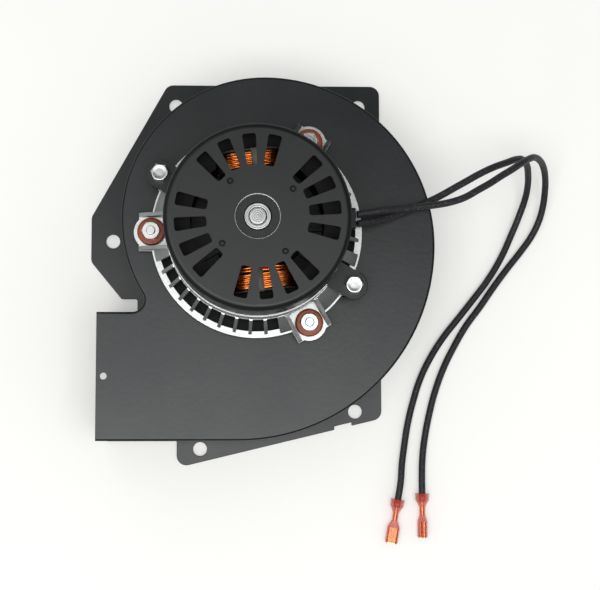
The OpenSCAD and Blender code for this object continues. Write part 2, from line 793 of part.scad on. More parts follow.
// A frame round a pole's neck: the section's outer half sizes, from x0 to x1
module neck_frame(x0, x1, half_w, half_h, r, inner_grow) {
    translate([x0, 0, stack_low + stack_h / 2]) rotate([90, 0, 90]) linear_extrude(x1 - x0) difference() {
        rounded_rectangle(2 * half_w, 2 * half_h, r);
        square([neck_w + 2 * inner_grow, stack_h + 2 * inner_grow], center = true);
    }
}

module coil_bobbins() {
    below = 0.6;
    wall = slip + bobbin_t;
    color("#8e8f88") for (a = pole_angles) rotate(a) {
        neck_frame(bobbin_in, bobbin_out, neck_w / 2 + wall, stack_h / 2 + wall, bobbin_t, slip);
        for (x = [bobbin_in, bobbin_out - bobbin_t])
            neck_frame(x, x + bobbin_t, coil_half_w - below, coil_half_h - below, coil_corner_r, slip);
    }
}

module field_coils() {
    room = bobbin_t + slip;
    color("#c8682e") for (a = pole_angles) rotate(a)
        neck_frame(bobbin_in + room, bobbin_out - room, coil_half_w, coil_half_h,
            coil_corner_r, room + slip);
}

// Races are grooved on the balls' circle
module race_section(r_in, r_out) {
    difference() {
        translate([r_in, -bearing_w / 2]) square([r_out - r_in, bearing_w]);
        translate([pitch_r, 0]) circle(ball_r + ball_room);
    }
}

module outer_race(z) {
    land_r = pitch_r + race_land;
    color("#b4b7b9") translate([0, 0, z]) rotate_extrude() difference() {
        race_section(land_r, bearing_d / 2);
        for (side = [-1, 1]) translate([land_r, side * bearing_w / 2])
            square([2 * seal_step, 3 * seal_t + 2 * press], center = true);
    }
}

module inner_race(z) {
    color("#c2c5c6") translate([0, 0, z]) rotate_extrude()
        race_section(shaft_d / 2 + press, pitch_r - race_land);
}

module seals(z) {
    color("#25262a") for (side = [-1, 1])
        translate([0, 0, z + side * (bearing_w / 2 - seal_t) - seal_t / 2])
            tube(pitch_r + race_land + seal_step - press, pitch_r - race_land + 0.3, seal_t);
}

// A crown cage: pockets open on one side, a closed rim on the other
module cage(z) {
    color("#d8d2bf") translate([0, 0, z]) difference() {
        translate([0, 0, -ball_r / 2]) tube(pitch_r + 0.9, pitch_r - 0.9, ball_r * 1.5 + 0.6);
        for (i = [0:ball_count - 1]) rotate(360 / ball_count * i)
            translate([pitch_r, 0, 0]) sphere(ball_r + ball_room);
    }
}

module balls(z) {
    color("#d9dbdc") for (i = [0:ball_count - 1]) rotate(360 / ball_count * i)
        translate([pitch_r, 0, z]) sphere(ball_r);
}

module rear_bearing_outer_race() {
    outer_race(rear_bearing_z);
}

module front_bearing_outer_race() {
    outer_race(front_bearing_z);
}

module rear_bearing_inner_race() {
    inner_race(rear_bearing_z);
}

module front_bearing_inner_race() {
    inner_race(front_bearing_z);
}

module rear_bearing_seals() {
    seals(rear_bearing_z);
}

module front_bearing_seals() {
    seals(front_bearing_z);
}

module rear_bearing_cage() {
    cage(rear_bearing_z);
}

module front_bearing_cage() {
    cage(front_bearing_z);
}

module rear_bearing_balls() {
    balls(rear_bearing_z);
}

module front_bearing_balls() {
    balls(front_bearing_z);
}

module lead_bushing() {
    color("#1d1d1f") translate([bushing_in, bushing_y, bushing_z]) rotate([90, 0, 90])
        linear_extrude(bushing_face - bushing_in) rounded_rectangle(bushing_w, bushing_h, 1.5);
}

module lead(route) {
    n = len(route);
    points = [for (i = [0:n - 1]) each ring(route, i)];
    sides = [for (i = [0:n - 2], k = [0:lead_sides - 1])
        let (a = i * lead_sides, b = a + lead_sides, m = (k + 1) % lead_sides)
        [a + k, a + m, b + m, b + k]];
    start = [for (k = [lead_sides - 1:-1:0]) k];
    finish = [for (k = [0:lead_sides - 1]) (n - 1) * lead_sides + k];
    polyhedron(points, concat([start], sides, [finish]), convexity = 10);
}

module outer_lead() {
    color("#222326") lead(outer_route);
}

module inner_lead() {
    color("#222326") lead(inner_route);
}

// Stands a terminal at the end of its lead, with X along it, rolled about that axis
module at_end(route, roll) {
    last = len(route) - 1;
    way = heading(route, last);
    translate(route[last]) rotate(atan2(way.y, way.x)) rotate([roll, 0, 0]) children();
}

// A tab connector's sleeve: round flare and waist, then a flat hollow for the tab
module terminal_sleeve() {
    edge_r = tab_h / 2 - 0.1;
    rotate([0, 90, 0]) rotate_extrude() polygon([[0, 0], [flare_d / 2, 0], [flare_d / 2 - 0.1, flare_l],
        [waist_d / 2 + 0.2, taper_end], [waist_d / 2, waist_end], [0, waist_end]]);
    hull() {
        translate([waist_end - 0.1, 0, 0]) rotate([0, 90, 0]) cylinder(d = waist_d, h = 0.1, $fn = 32);
        translate([tab_start, 0, 0]) rotate([90, 0, 90]) linear_extrude(0.1)
            rounded_rectangle(tab_w, tab_h, edge_r, $fn = 32);
    }
    translate([tab_start, 0, 0]) rotate([90, 0, 90]) linear_extrude(terminal_l - tab_start) difference() {
        rounded_rectangle(tab_w, tab_h, edge_r);
        rounded_rectangle(tab_w - 2 * tab_wall, tab_h - 2 * tab_wall, edge_r - tab_wall);
    }
}

// The tab connector's metal: a flat bed with its two edges rolled over
module terminal_contact() {
    reach = tab_w / 2 - tab_wall - slip - roll_r;
    l = terminal_l + contact_end - tab_start - 0.2;
    translate([tab_start + 0.2, 0, 0]) {
        translate([0, -reach, -roll_r]) cube([l, 2 * reach, 0.7]);
        for (y = [-reach, reach]) translate([0, y, 0]) rotate([0, 90, 0]) cylinder(r = roll_r, h = l);
    }
}

module outer_terminal_sleeve() {
    color("#d2452c") at_end(outer_route, outer_roll) terminal_sleeve();
}

module outer_terminal_contact() {
    color("#c9a35a") at_end(outer_route, outer_roll) terminal_contact();
}

module inner_terminal_sleeve() {
    color("#d2452c") at_end(inner_route, inner_roll) terminal_sleeve();
}

module inner_terminal_contact() {
    color("#c9a35a") at_end(inner_route, inner_roll) terminal_contact();
}

module motor_shaft() {
    color("#c4c6c7") translate([0, 0, hub_low]) cylinder(d = shaft_d, h = face_top + shaft_end - hub_low);
}

module rotor_core() {
    color("#70757a") translate([0, 0, stack_low]) tube(rotor_d / 2, shaft_d / 2 + press, stack_h);
}

module rotor_end_rings() {
    color("#c5c8ca") for (z = [stack_low - end_ring_h, stack_top])
        translate([0, 0, z]) tube(rotor_d / 2 - 1, rotor_d / 2 - 7.5, end_ring_h);
}

module cooling_fan() {
    fan_t = 1.2;
    vane_t = 1.2;
    vane_count = 12;
    vane_in = shaft_d / 2 + 8;
    color("#3b3c3f") translate([0, 0, fan_low]) {
        tube(fan_r, shaft_d / 2 + press, fan_t);
        tube(shaft_d / 2 + 4, shaft_d / 2 + press, fan_h);
        for (i = [0:vane_count - 1]) rotate(360 / vane_count * i)
            translate([vane_in, -vane_t / 2, 0]) cube([fan_r - vane_in - 0.5, vane_t, fan_h]);
    }
}

module wheel_disc() {
    color("#b8bbbd") translate([0, 0, blade_high]) tube(wheel_r, wheel_hub_d / 2 - swage_w + press, disc_t);
}

module wheel_ring() {
    color("#b8bbbd") translate([0, 0, wheel_front]) tube(wheel_r, wheel_r - blade_depth + 2, disc_t);
}

// One forward-curved blade: it leaves the wheel's eye radially and leans with the rotation
module blade() {
    blade_in = wheel_r - blade_depth;
    intersection() {
        difference() {
            circle(wheel_r - 0.3);
            circle(blade_in);
        }
        translate([blade_in + 1, -blade_r]) difference() {
            circle(blade_r + blade_t / 2);
            circle(blade_r - blade_t / 2);
        }
        translate([0, -blade_r]) square([far, far]);
    }
}

module wheel_blades() {
    color("#b8bbbd") translate([0, 0, blade_low]) linear_extrude(blade_high - blade_low)
        for (i = [0:blade_count - 1]) rotate(360 / blade_count * i) blade();
}

module wheel_hub() {
    neck_r = wheel_hub_d / 2 - swage_w;
    color("#aeb1b3") difference() {
        union() {
            translate([0, 0, hub_low]) cylinder(d = wheel_hub_d, h = wheel_hub_l);
            translate([0, 0, hub_low]) cylinder(r = neck_r, h = wheel_hub_l + disc_t + swage_h);
            translate([0, 0, wheel_back]) cylinder(d = wheel_hub_d, h = swage_h);
        }
        translate([0, 0, hub_low - 1]) cylinder(r = hub_bore_r, h = wheel_hub_l + disc_t + swage_h + 2);
        translate([0, 0, set_screw_z]) rotate([0, 90, 0])
            cylinder(d = set_screw_d + 2 * slip, h = wheel_hub_d);
    }
}

module wheel_set_screw() {
    socket_af = set_screw_d / 2;
    length = (wheel_hub_d - shaft_d) / 2 + 0.3;
    color("#3a3b3d") translate([shaft_d / 2 + slip, 0, set_screw_z]) rotate([0, 90, 0]) difference() {
        cylinder(d = set_screw_d, h = length);
        translate([0, 0, length - 2]) hexagon(socket_af, 3);
    }
}

mounting_plate();
scroll_wall();
motor_side_plate();
mount_studs();
isolation_grommets();
grommet_sleeves();
mount_nuts();
motor_bracket();
motor_shell();
shell_screws();
stator_core();
coil_bobbins();
field_coils();
shading_rings();
rear_bearing_outer_race();
front_bearing_outer_race();
rear_bearing_seals();
front_bearing_seals();
lead_bushing();
outer_lead();
inner_lead();
outer_terminal_contact();
outer_terminal_sleeve();
inner_terminal_contact();
inner_terminal_sleeve();
motor_shaft();
rotor_core();
rotor_end_rings();
cooling_fan();
wheel_disc();
wheel_blades();
wheel_ring();
wheel_hub();
wheel_set_screw();
rear_bearing_inner_race();
front_bearing_inner_race();
rear_bearing_cage();
rear_bearing_balls();
front_bearing_cage();
front_bearing_balls();
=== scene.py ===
# %% [markdown]
# # A furnace draft inducer, dressed
#
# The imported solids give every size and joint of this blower: a folded steel scroll, a small
# shaded-pole motor on three rubber grommets, and two leads with red push-on terminals.
# This file keeps those solids as a fixed frame and adds what the eye expects on top of them:
# rounded edges, wound copper, translucent nylon, and a finish for each metal and plastic.

# %% Load the frame
import math
import random

import bmesh
import bpy
from mathutils import Matrix, Vector


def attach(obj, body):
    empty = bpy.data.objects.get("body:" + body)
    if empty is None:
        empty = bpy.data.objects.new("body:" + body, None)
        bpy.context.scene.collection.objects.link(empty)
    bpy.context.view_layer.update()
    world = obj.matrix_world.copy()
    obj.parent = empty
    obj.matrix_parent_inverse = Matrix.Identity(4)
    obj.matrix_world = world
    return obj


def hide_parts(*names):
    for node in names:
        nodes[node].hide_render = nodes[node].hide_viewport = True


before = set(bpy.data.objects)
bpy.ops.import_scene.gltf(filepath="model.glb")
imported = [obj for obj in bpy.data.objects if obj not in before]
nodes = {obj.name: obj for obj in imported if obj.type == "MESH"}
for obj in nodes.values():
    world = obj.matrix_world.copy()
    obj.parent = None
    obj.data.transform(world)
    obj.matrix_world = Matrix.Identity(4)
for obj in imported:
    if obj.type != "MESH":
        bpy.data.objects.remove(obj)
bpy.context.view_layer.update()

MM = 0.001
MERGE_DIST = 1e-6
scene = bpy.context.scene

# %% [markdown]
# ## The camera
#
# The blower lies on a table and is seen from above, so the camera looks almost straight down.
# Where plumb lines meet in the picture is the point straight below the lens. One turn that takes
# that direction to world down gives the whole tilt, with no roll left to guess.

# %% Camera above the table
PICTURE_WIDTH_PX = 600
FOCAL_PX = 1500
SENSOR_MM = 36
PLUMB_X_PX, PLUMB_Y_PX = -60, -150  # where plumb lines meet, from the picture's middle
LENS_AT = (-7.8, -102.5, 780)

lens = bpy.data.cameras.new("camera")
lens.sensor_fit = "HORIZONTAL"
lens.sensor_width = SENSOR_MM
lens.lens = SENSOR_MM * FOCAL_PX / PICTURE_WIDTH_PX
camera = bpy.data.objects.new("camera", lens)
scene.collection.objects.link(camera)
plumb = Vector((PLUMB_X_PX / FOCAL_PX, PLUMB_Y_PX / FOCAL_PX, -1))
camera.location = Vector(LENS_AT) * MM
camera.rotation_euler = plumb.rotation_difference(Vector((0, 0, -1))).to_euler()
scene.camera = camera
print("lens", lens.lens, "mm, tilt", [round(math.degrees(a), 2) for a in camera.rotation_euler])

# %% [markdown]
# ## The leads
#
# Two insulated leads leave the bracket through a rubber bushing, run over the scroll and come
# down to the table. A Bezier curve through the route's points, with automatic handles and a
# round bevel, is the simplest tube: it keeps one smooth centre line of a known length. Each
# curve goes a little further than the solid lead, into the terminal, where the red nylon lets
# the cut end show through.

# %% Lead curves
WIRE_D = 3.5
WIRE_IN_FLARE = 4.2

OUTER_ROUTE = [
    (48.5, 8, 65.5), (54, 9, 65), (60, 10, 64.5), (67, 11, 63), (74, 12, 61), (81, 13, 60),
    (88, 14, 59), (95, 15.5, 58), (102, 18, 57), (109, 22, 56), (115, 25.5, 55), (121, 29.5, 53.5),
    (126.5, 33, 51.5), (131.5, 36.5, 48.5), (136, 39.5, 44.5), (140, 41.5, 39.5), (144, 41.5, 33),
    (147.5, 39.5, 25.5), (150, 35, 18), (151, 28.5, 11.5), (150.5, 20.5, 7), (148.5, 13, 4),
    (145, 6, 2.5), (140, -1, 2), (132, -11, 2), (124.5, -21, 2), (117.5, -31, 2), (110, -41, 2),
    (103.5, -52, 2), (98, -63, 2), (93.5, -75, 2), (90.5, -86, 2), (88, -98, 2.2),
    (86.5, -109, 2.8), (86, -118.5, 3.8), (86, -127.5, 3.8)]
INNER_ROUTE = [
    (48.5, 3.5, 65.5), (54, 4.5, 64), (60, 6, 61.5), (66, 8, 58.5), (72, 10.5, 56.5),
    (78, 13, 55), (84, 16, 54.5), (90, 19, 54), (97, 23, 53.5), (104, 27, 53), (111, 31, 52),
    (118, 34.5, 50), (125, 37.5, 46.5), (130.5, 40, 42), (135, 41, 36), (138.5, 39.5, 28.5),
    (140.5, 36, 21), (141.5, 31, 14), (141, 25, 8.5), (138.5, 17, 5), (134.5, 7, 2.8), (129, -5, 2),
    (122, -16.5, 2), (114, -27, 2), (106, -37, 2), (98, -47, 2), (91.5, -57, 2), (86, -68, 2),
    (82, -80, 2), (79, -92, 2), (77, -104, 2.2), (75.8, -112.5, 2.8), (75, -121.5, 3.8),
    (73.5, -130.5, 3.8)]


def end_of(route):
    """The route's last point, in metres, and the direction it runs there."""
    last, before = Vector(route[-1]), Vector(route[-2])
    return last * MM, (last - before).normalized()


def lead_curve(name, route):
    """A lead as one smooth curve with a round bevel, and its length in metres."""
    curve = bpy.data.curves.new(name, "CURVE")
    curve.dimensions = "3D"
    curve.bevel_depth = WIRE_D / 2 * MM
    curve.bevel_resolution = 4
    curve.resolution_u = 6
    curve.use_fill_caps = True
    tip, way = end_of(route)
    points = [Vector(p) * MM for p in route] + [tip + way * WIRE_IN_FLARE * MM]
    spline = curve.splines.new("BEZIER")
    spline.bezier_points.add(len(points) - 1)
    for knot, point in zip(spline.bezier_points, points):
        knot.co = point
        knot.handle_left_type = knot.handle_right_type = "AUTO"
    lead = bpy.data.objects.new(name, curve)
    scene.collection.objects.link(lead)
    bpy.context.view_layer.update()
    print(name, "is", round(spline.calc_length() / MM, 1), "mm long")
    return lead, spline.calc_length()


outer_lead, outer_length = lead_curve("outer_lead_wire", OUTER_ROUTE)
inner_lead, inner_length = lead_curve("inner_lead_wire", INNER_ROUTE)

# %% [markdown]
# ## How the finishes are written
#
# Every finish is a Principled shader with a few nodes in front of it. Colours are written as
# the hex values that a paint chip would have and turned to linear light by one function. One
# more function adds a node, sets its options, and links or fills its sockets. Patterns read
# Object coordinates, which are metres here, so a pattern that repeats every d millimetres has a
# scale of 1 / (d * MM).

# %% Helpers for the finishes
NOISE_LOW, NOISE_HIGH = 0.3, 0.7  # nearly all of a noise pattern lies between these
finishes = {}


def linear(code):
    """A hex sRGB colour as linear RGBA."""
    channels = [int(code[i:i + 2], 16) / 255 for i in (1, 3, 5)]
    return [c / 12.92 if c <= 0.04045 else ((c + 0.055) / 1.055) ** 2.4 for c in channels] + [1]


def add(tree, kind, inputs=(), **settings):
    """Adds a node; an input that is a socket is linked, any other is set."""
    node = tree.nodes.new("ShaderNode" + kind)
    for name, value in settings.items():
        setattr(node, name, value)
    for key, value in dict(inputs).items():
        if isinstance(value, bpy.types.NodeSocket):
            tree.links.new(value, node.inputs[key])
        else:
            node.inputs[key].default_value = value
    return node


def start_finish(slot, name, **sockets):
    """A new material for a slot: its tree, its shader and its Object coordinates."""
    material = bpy.data.materials.new(name)
    material.use_nodes = True
    tree = material.node_tree
    shader = tree.nodes["Principled BSDF"]
    for key, value in sockets.items():
        shader.inputs[key.replace("_", " ")].default_value = value
    place = add(tree, "TexCoord").outputs["Object"]
    finishes[slot] = material
    return tree, shader, place


def every(mm):
    """The scale of a pattern that repeats every so many millimetres."""
    return 1 / (mm * MM)


def blotched(tree, shader, place, dark, light, size, detail=3.0):
    """Colour that drifts between two tones over patches of a size in millimetres."""
    patches = add(tree, "TexNoise", {"Vector": place, "Scale": every(size), "Detail": detail})
    tone = add(tree, "Mix", {0: patches.outputs["Fac"], 6: linear(dark), 7: linear(light)},
               data_type="RGBA")
    tree.links.new(tone.outputs[2], shader.inputs["Base Color"])
    return patches.outputs["Fac"], tone.outputs[2]


def grained(tree, shader, place, size, depth, detail=2.0):
    """A bump of grains of a size and depth in millimetres."""
    grain = add(tree, "TexNoise", {"Vector": place, "Scale": every(size), "Detail": detail})
    bump = add(tree, "Bump", {"Height": grain.outputs["Fac"], "Distance": depth * MM})
    tree.links.new(bump.outputs["Normal"], shader.inputs["Normal"])


def rough_between(tree, shader, factor, low, high):
    """Roughness that follows a pattern between two values."""
    span = add(tree, "MapRange", {"Value": factor, "From Min": NOISE_LOW,
                                  "From Max": NOISE_HIGH, "To Min": low, "To Max": high})
    tree.links.new(span.outputs["Result"], shader.inputs["Roughness"])
    return span.outputs["Result"]


# %% [markdown]
# ## Painted steel
#
# The scroll and its plates are mild steel with a satin black powder coat. Powder melts into a
# skin with a slight orange peel of about 1 mm, too fine for this picture, so it is drawn at
# 2.2 mm. Under the motor the coat is painted darker and duller: painted shade, where the motor
# shades the plate. Along the drawn edge its reflection is dulled, as painted shade. The motor's
# shell has a thinner sprayed enamel, with full gloss on the face and a dulled reflection down
# the wall, as painted shade.

# %% Black paints
PAINTED_SHADE_FULL_R, PAINTED_SHADE_END_R, SIDE_PLATE_Z = 47, 50, 45  # painted shade under the motor: full inside the first radius, none beyond the second
EDGE_Z, EDGE_HALF_H = 51.0, 1.1  # the drawn edge of the motor-side plate
WALL_MIDDLE_Z, WALL_SHADE_HALF_H, WALL_SHADE_FADE_END = 96, 15.6, 16.6  # up and down the shell's wall
PAINTED_SHADE_COAT, COAT, PAINTED_SHADE_ENAMEL, ENAMEL = 0.12, 0.5, 0.08, 0.45  # specular levels

tree, shader, place = start_finish("black_powder_coat", "satin_black_powder_coat")
patches, coat = blotched(tree, shader, place, "#171a1b", "#1e2224", 35)
grained(tree, shader, place, 2.2, 0.03)
rough_between(tree, shader, patches, 0.31, 0.37)
flat = add(tree, "Mapping", {"Vector": place, "Scale": (1, 1, 0)})
reach = add(tree, "VectorMath", {0: flat.outputs["Vector"]}, operation="LENGTH")
height = add(tree, "SeparateXYZ", {"Vector": place}).outputs["Z"]
near = add(tree, "MapRange", {"Value": reach.outputs["Value"], "From Min": PAINTED_SHADE_END_R * MM,
                              "From Max": PAINTED_SHADE_FULL_R * MM})
above = add(tree, "Math", {0: height, 1: SIDE_PLATE_Z * MM}, operation="GREATER_THAN")
motor_painted_shade = add(tree, "Math", {0: near.outputs["Result"], 1: above.outputs["Value"]},
             operation="MULTIPLY")
# Painted shade under the motor: the coat is mixed towards near-black where the motor shades the
# plate.
tone = add(tree, "Mix", {0: motor_painted_shade.outputs["Value"], 6: coat, 7: linear("#0b0c0d")},
           data_type="RGBA")
tree.links.new(tone.outputs[2], shader.inputs["Base Color"])
# Painted shade: the coat's reflection is dulled under the motor and along the drawn edge, so both
# read dark.
edge = add(tree, "Math", {0: height, 1: EDGE_Z * MM, 2: EDGE_HALF_H * MM}, operation="COMPARE")
thin = add(tree, "Math", {0: motor_painted_shade.outputs["Value"], 1: edge.outputs["Value"]},
           operation="MAXIMUM")
gloss = add(tree, "MapRange", {"Value": thin.outputs["Value"], "To Min": COAT,
                               "To Max": PAINTED_SHADE_COAT})
tree.links.new(gloss.outputs["Result"], shader.inputs["Specular IOR Level"])

tree, shader, place = start_finish("shell_paint", "sprayed_black_enamel")
patches, _ = blotched(tree, shader, place, "#111314", "#181a1b", 18)
grained(tree, shader, place, 1.4, 0.012)
rough_between(tree, shader, patches, 0.38, 0.46)
height = add(tree, "SeparateXYZ", {"Vector": place}).outputs["Z"]
# Painted shade: the enamel's reflection is dulled down the shell's wall, and full on the face and
# the ears.
from_middle = add(tree, "Math", {0: height, 1: WALL_MIDDLE_Z * MM}, operation="SUBTRACT")
from_middle = add(tree, "Math", {0: from_middle.outputs["Value"]}, operation="ABSOLUTE")
gloss = add(tree, "MapRange", {"Value": from_middle.outputs["Value"],
                               "From Min": WALL_SHADE_HALF_H * MM, "From Max": WALL_SHADE_FADE_END * MM,
                               "To Min": PAINTED_SHADE_ENAMEL, "To Max": ENAMEL})
tree.links.new(gloss.outputs["Result"], shader.inputs["Specular IOR Level"])
print("paints:", [m.name for m in finishes.values()])

# %% [markdown]
# ## Bare and plated metals
#
# Die-cast aluminium comes out of its mould with a slightly mottled skin. Its level faces are
# painted lighter and its slopes a darker grey: painted shade by the face's direction, as light
# falls on them. The slopes are also rougher. Zinc plate on nuts, studs and screws is brighter
# still and a little blue. The stamped wheel is hot-dipped sheet, on which the zinc freezes in
# flower-shaped crystals.

# %% Casting and zinc
SLOPE, LEVEL = 0.6, 0.9  # the upward part of a face's direction
SLOPE_ROUGH = 0.6

tree, shader, place = start_finish("cast_aluminium", "die_cast_aluminium", Metallic=1.0)
patches, level_face_tone = blotched(tree, shader, place, "#b3b7b7", "#d8dbda", 3.5, 5.0)
grained(tree, shader, place, 0.9, 0.04, 4.0)
skin = rough_between(tree, shader, patches, 0.28, 0.4)
way = add(tree, "SeparateXYZ", {"Vector": place.node.outputs["Normal"]}).outputs["Z"]
level_lit_share = add(tree, "MapRange", {"Value": way, "From Min": SLOPE, "From Max": LEVEL})
dull = add(tree, "MapRange", {"Value": level_lit_share.outputs["Result"], "To Min": SLOPE_ROUGH,
                              "To Max": skin})
tree.links.new(dull.outputs["Result"], shader.inputs["Roughness"])
# Painted shade: sloped faces take the darker grey, level faces the lighter tone.
tone = add(tree, "Mix", {0: level_lit_share.outputs["Result"], 6: linear("#a8acaa"), 7: level_face_tone},
           data_type="RGBA")
tree.links.new(tone.outputs[2], shader.inputs["Base Color"])

tree, shader, place = start_finish("zinc_steel", "bright_zinc_plate", Metallic=1.0)
patches, _ = blotched(tree, shader, place, "#cdd0d2", "#dfe0de", 2.5)
grained(tree, shader, place, 0.7, 0.015)
rough_between(tree, shader, patches, 0.2, 0.3)

tree, shader, place = start_finish("galvanised_steel", "galvanised_sheet", Metallic=1.0)
spangle = add(tree, "TexVoronoi", {"Vector": place, "Scale": every(7)})
shade = add(tree, "SeparateColor", {"Color": spangle.outputs["Color"]})
tone = add(tree, "Mix", {0: shade.outputs["Red"], 6: linear("#a9adb0"), 7: linear("#c9cccd")},
           data_type="RGBA")
tree.links.new(tone.outputs[2], shader.inputs["Base Color"])
rough_between(tree, shader, shade.outputs["Green"], 0.3, 0.42)
grained(tree, shader, place, 1.2, 0.02)
print("casting and zinc:", [m.name for m in finishes.values()][-3:])

# %% [markdown]
# ## Ground, stacked and blackened steel
#
# The bearing's rings and the shaft's end show rings that a lathe and a grinding wheel leave. Real
# ones are too fine for this picture, so they are drawn 0.9 mm apart. The stator's core is a stack
# of varnished sheets of 0.65 mm, which shows as bands down its sides. The set screw is blackened
# in a hot bath, so it is a dark metal with little gloss.

# %% Steels


def turned_rings(tree, shader, place, pitch, depth):
    """A bump of fine rings about the shaft's axis, as a lathe leaves them."""
    flat = add(tree, "Mapping", {"Vector": place, "Scale": (1, 1, 0)})
    reach = add(tree, "VectorMath", {0: flat.outputs["Vector"]}, operation="LENGTH")
    turns = add(tree, "Math", {0: reach.outputs["Value"], 1: 2 * math.pi * every(pitch)},
                operation="MULTIPLY")
    wave = add(tree, "Math", {0: turns.outputs["Value"]}, operation="SINE")
    bump = add(tree, "Bump", {"Height": wave.outputs["Value"], "Distance": depth * MM})
    tree.links.new(bump.outputs["Normal"], shader.inputs["Normal"])


tree, shader, place = start_finish("bearing_steel", "ground_bearing_steel", Metallic=1.0)
patches, _ = blotched(tree, shader, place, "#a9abab", "#c2c3c1", 4)
rough_between(tree, shader, patches, 0.2, 0.3)
turned_rings(tree, shader, place, 0.9, 0.008)

tree, shader, place = start_finish("lamination_steel", "varnished_lamination_steel",
                                   Specular_IOR_Level=0.25)
patches, _ = blotched(tree, shader, place, "#08090a", "#0f1011", 6)
sheets = add(tree, "TexWave", {"Vector": place, "Scale": every(0.65) / (2 * math.pi)},
             wave_type="BANDS", bands_direction="Z")
edges = add(tree, "Bump", {"Height": sheets.outputs["Fac"], "Distance": 0.05 * MM})
tree.links.new(edges.outputs["Normal"], shader.inputs["Normal"])
rough_between(tree, shader, patches, 0.55, 0.65)

tree, shader, place = start_finish("black_oxide_steel", "black_oxide_steel", Metallic=1.0)
patches, _ = blotched(tree, shader, place, "#232427", "#36383b", 2)
rough_between(tree, shader, patches, 0.35, 0.45)
print("steels:", [m.name for m in finishes.values() if "steel" in m.name])

# %% [markdown]
# ## Copper and brass
#
# Magnet wire is soft copper under a clear amber enamel, so it is a metal with a thin gloss coat.
# The push-on contacts are stamped brass with a tin wash.

# %% Copper and brass
tree, shader, place = start_finish("copper_wire", "enamelled_magnet_wire", Metallic=1.0,
                                   Coat_Weight=0.5, Coat_Roughness=0.15)
patches, _ = blotched(tree, shader, place, "#bc4e12", "#ff9a3c", 2.4)
rough_between(tree, shader, patches, 0.22, 0.36)
grained(tree, shader, place, 0.8, 0.02)

tree, shader, place = start_finish("terminal_brass", "tinned_brass", Metallic=1.0)
patches, _ = blotched(tree, shader, place, "#f6b270", "#ffd2a2", 1.5)
rough_between(tree, shader, patches, 0.22, 0.34)
print("copper and brass added,", len(finishes), "finishes so far")

# %% [markdown]
# ## Rubbers and plastics
#
# The grommets are red-brown silicone, the leads have a black cross-linked skin with a little
# chalky dust, and the terminals are red nylon. The nylon's wall is under half a millimetre, so
# part of the light goes straight through it. An alpha below 1 says just that, without the noise
# of real refraction, and the metal inside shows through the red. Seals, bushing, bobbins, tape,
# cages and fan are plain rubbers and plastics that differ in tone and gloss, so one loop makes
# them.

# %% Rubbers and plastics
DUST_LOW, DUST_HIGH, DUST_SHARE = 0.62, 0.74, 0.55

tree, shader, place = start_finish("red_silicone", "moulded_silicone_rubber")
patches, _ = blotched(tree, shader, place, "#6e2a12", "#a04c26", 2.2)
grained(tree, shader, place, 0.8, 0.03)
rough_between(tree, shader, patches, 0.28, 0.42)

for slot, name, dark, light, low, high in (
        ("seal_rubber", "nitrile_seal_rubber", "#0e0f10", "#151718", 0.5, 0.6),
        ("bushing_rubber", "moulded_black_rubber", "#161618", "#202123", 0.5, 0.62),
        ("bobbin_nylon", "glass_filled_nylon", "#35342f", "#45443e", 0.5, 0.6),
        ("coil_tape", "aged_insulating_tape", "#6a655b", "#807a6f", 0.45, 0.55),
        ("cage_nylon", "natural_nylon", "#cfc8b2", "#ddd7c4", 0.4, 0.5),
        ("fan_plastic", "moulded_polypropylene", "#26272a", "#313236", 0.4, 0.5)):
    tree, shader, place = start_finish(slot, name)
    patches, _ = blotched(tree, shader, place, dark, light, 2.5)
    grained(tree, shader, place, 0.7, 0.02)
    rough_between(tree, shader, patches, low, high)

tree, shader, place = start_finish("lead_insulation", "cross_linked_lead_skin",
                                   Specular_IOR_Level=0.25)
specks = add(tree, "TexNoise", {"Vector": place, "Scale": every(0.9), "Detail": 2.0})
dust = add(tree, "MapRange", {"Value": specks.outputs["Fac"], "From Min": DUST_LOW,
                              "From Max": DUST_HIGH, "To Min": 0.0, "To Max": DUST_SHARE})
tone = add(tree, "Mix", {0: dust.outputs["Result"], 6: linear("#2b2b2e"), 7: linear("#7d7f82")},
           data_type="RGBA")
tree.links.new(tone.outputs[2], shader.inputs["Base Color"])
rough_between(tree, shader, specks.outputs["Fac"], 0.42, 0.55)

tree, shader, place = start_finish("terminal_nylon", "thin_red_nylon", IOR=1.53, Alpha=0.33)
patches, _ = blotched(tree, shader, place, "#e24632", "#f46c4e", 4)
rough_between(tree, shader, patches, 0.22, 0.32)
print("finishes in all:", len(finishes))

# %% [markdown]
# ## Dressing the solids
#
# Each solid came in with its slot's name on its material, so one loop hands out the finishes.

# %% Finishes on every solid
slot_of = {}
for name, solid in nodes.items():
    slot_of[name] = solid.material_slots[0].material.name.split(".")[0]
    for holder in solid.material_slots:
        holder.material = finishes[slot_of[name]]
print(len(nodes), "solids dressed with", len(set(slot_of.values())), "finishes")

# %% [markdown]
# ## New pieces on old bodies
#
# A piece that is drawn here still belongs to one moving body of the frame and to one finish, and
# often stands in for a plain solid. One helper does all of that for every mesh below.

# %% Helper for new pieces
CREASE = 50  # edges that fold by more degrees than this stay sharp


def add_piece(name, bm, body, slot, *stands_for):
    """A mesh object from a bmesh that rides on a body, wears a finish and stands for solids."""
    mesh = bpy.data.meshes.new(name)
    bm.to_mesh(mesh)
    bm.free()
    if "custom_normal" in mesh.attributes:  # a solid's own normals would undo the smoothing
        mesh.attributes.remove(mesh.attributes["custom_normal"])
    mesh.shade_smooth()
    mesh.set_sharp_from_angle(angle=math.radians(CREASE))
    mesh.materials.clear()
    mesh.materials.append(finishes[slot])
    piece = bpy.data.objects.new(name, mesh)
    scene.collection.objects.link(piece)
    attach(piece, body)
    if stands_for:
        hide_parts(*stands_for)
    print(name, "has", len(mesh.polygons), "faces of", finishes[slot].name)
    return piece


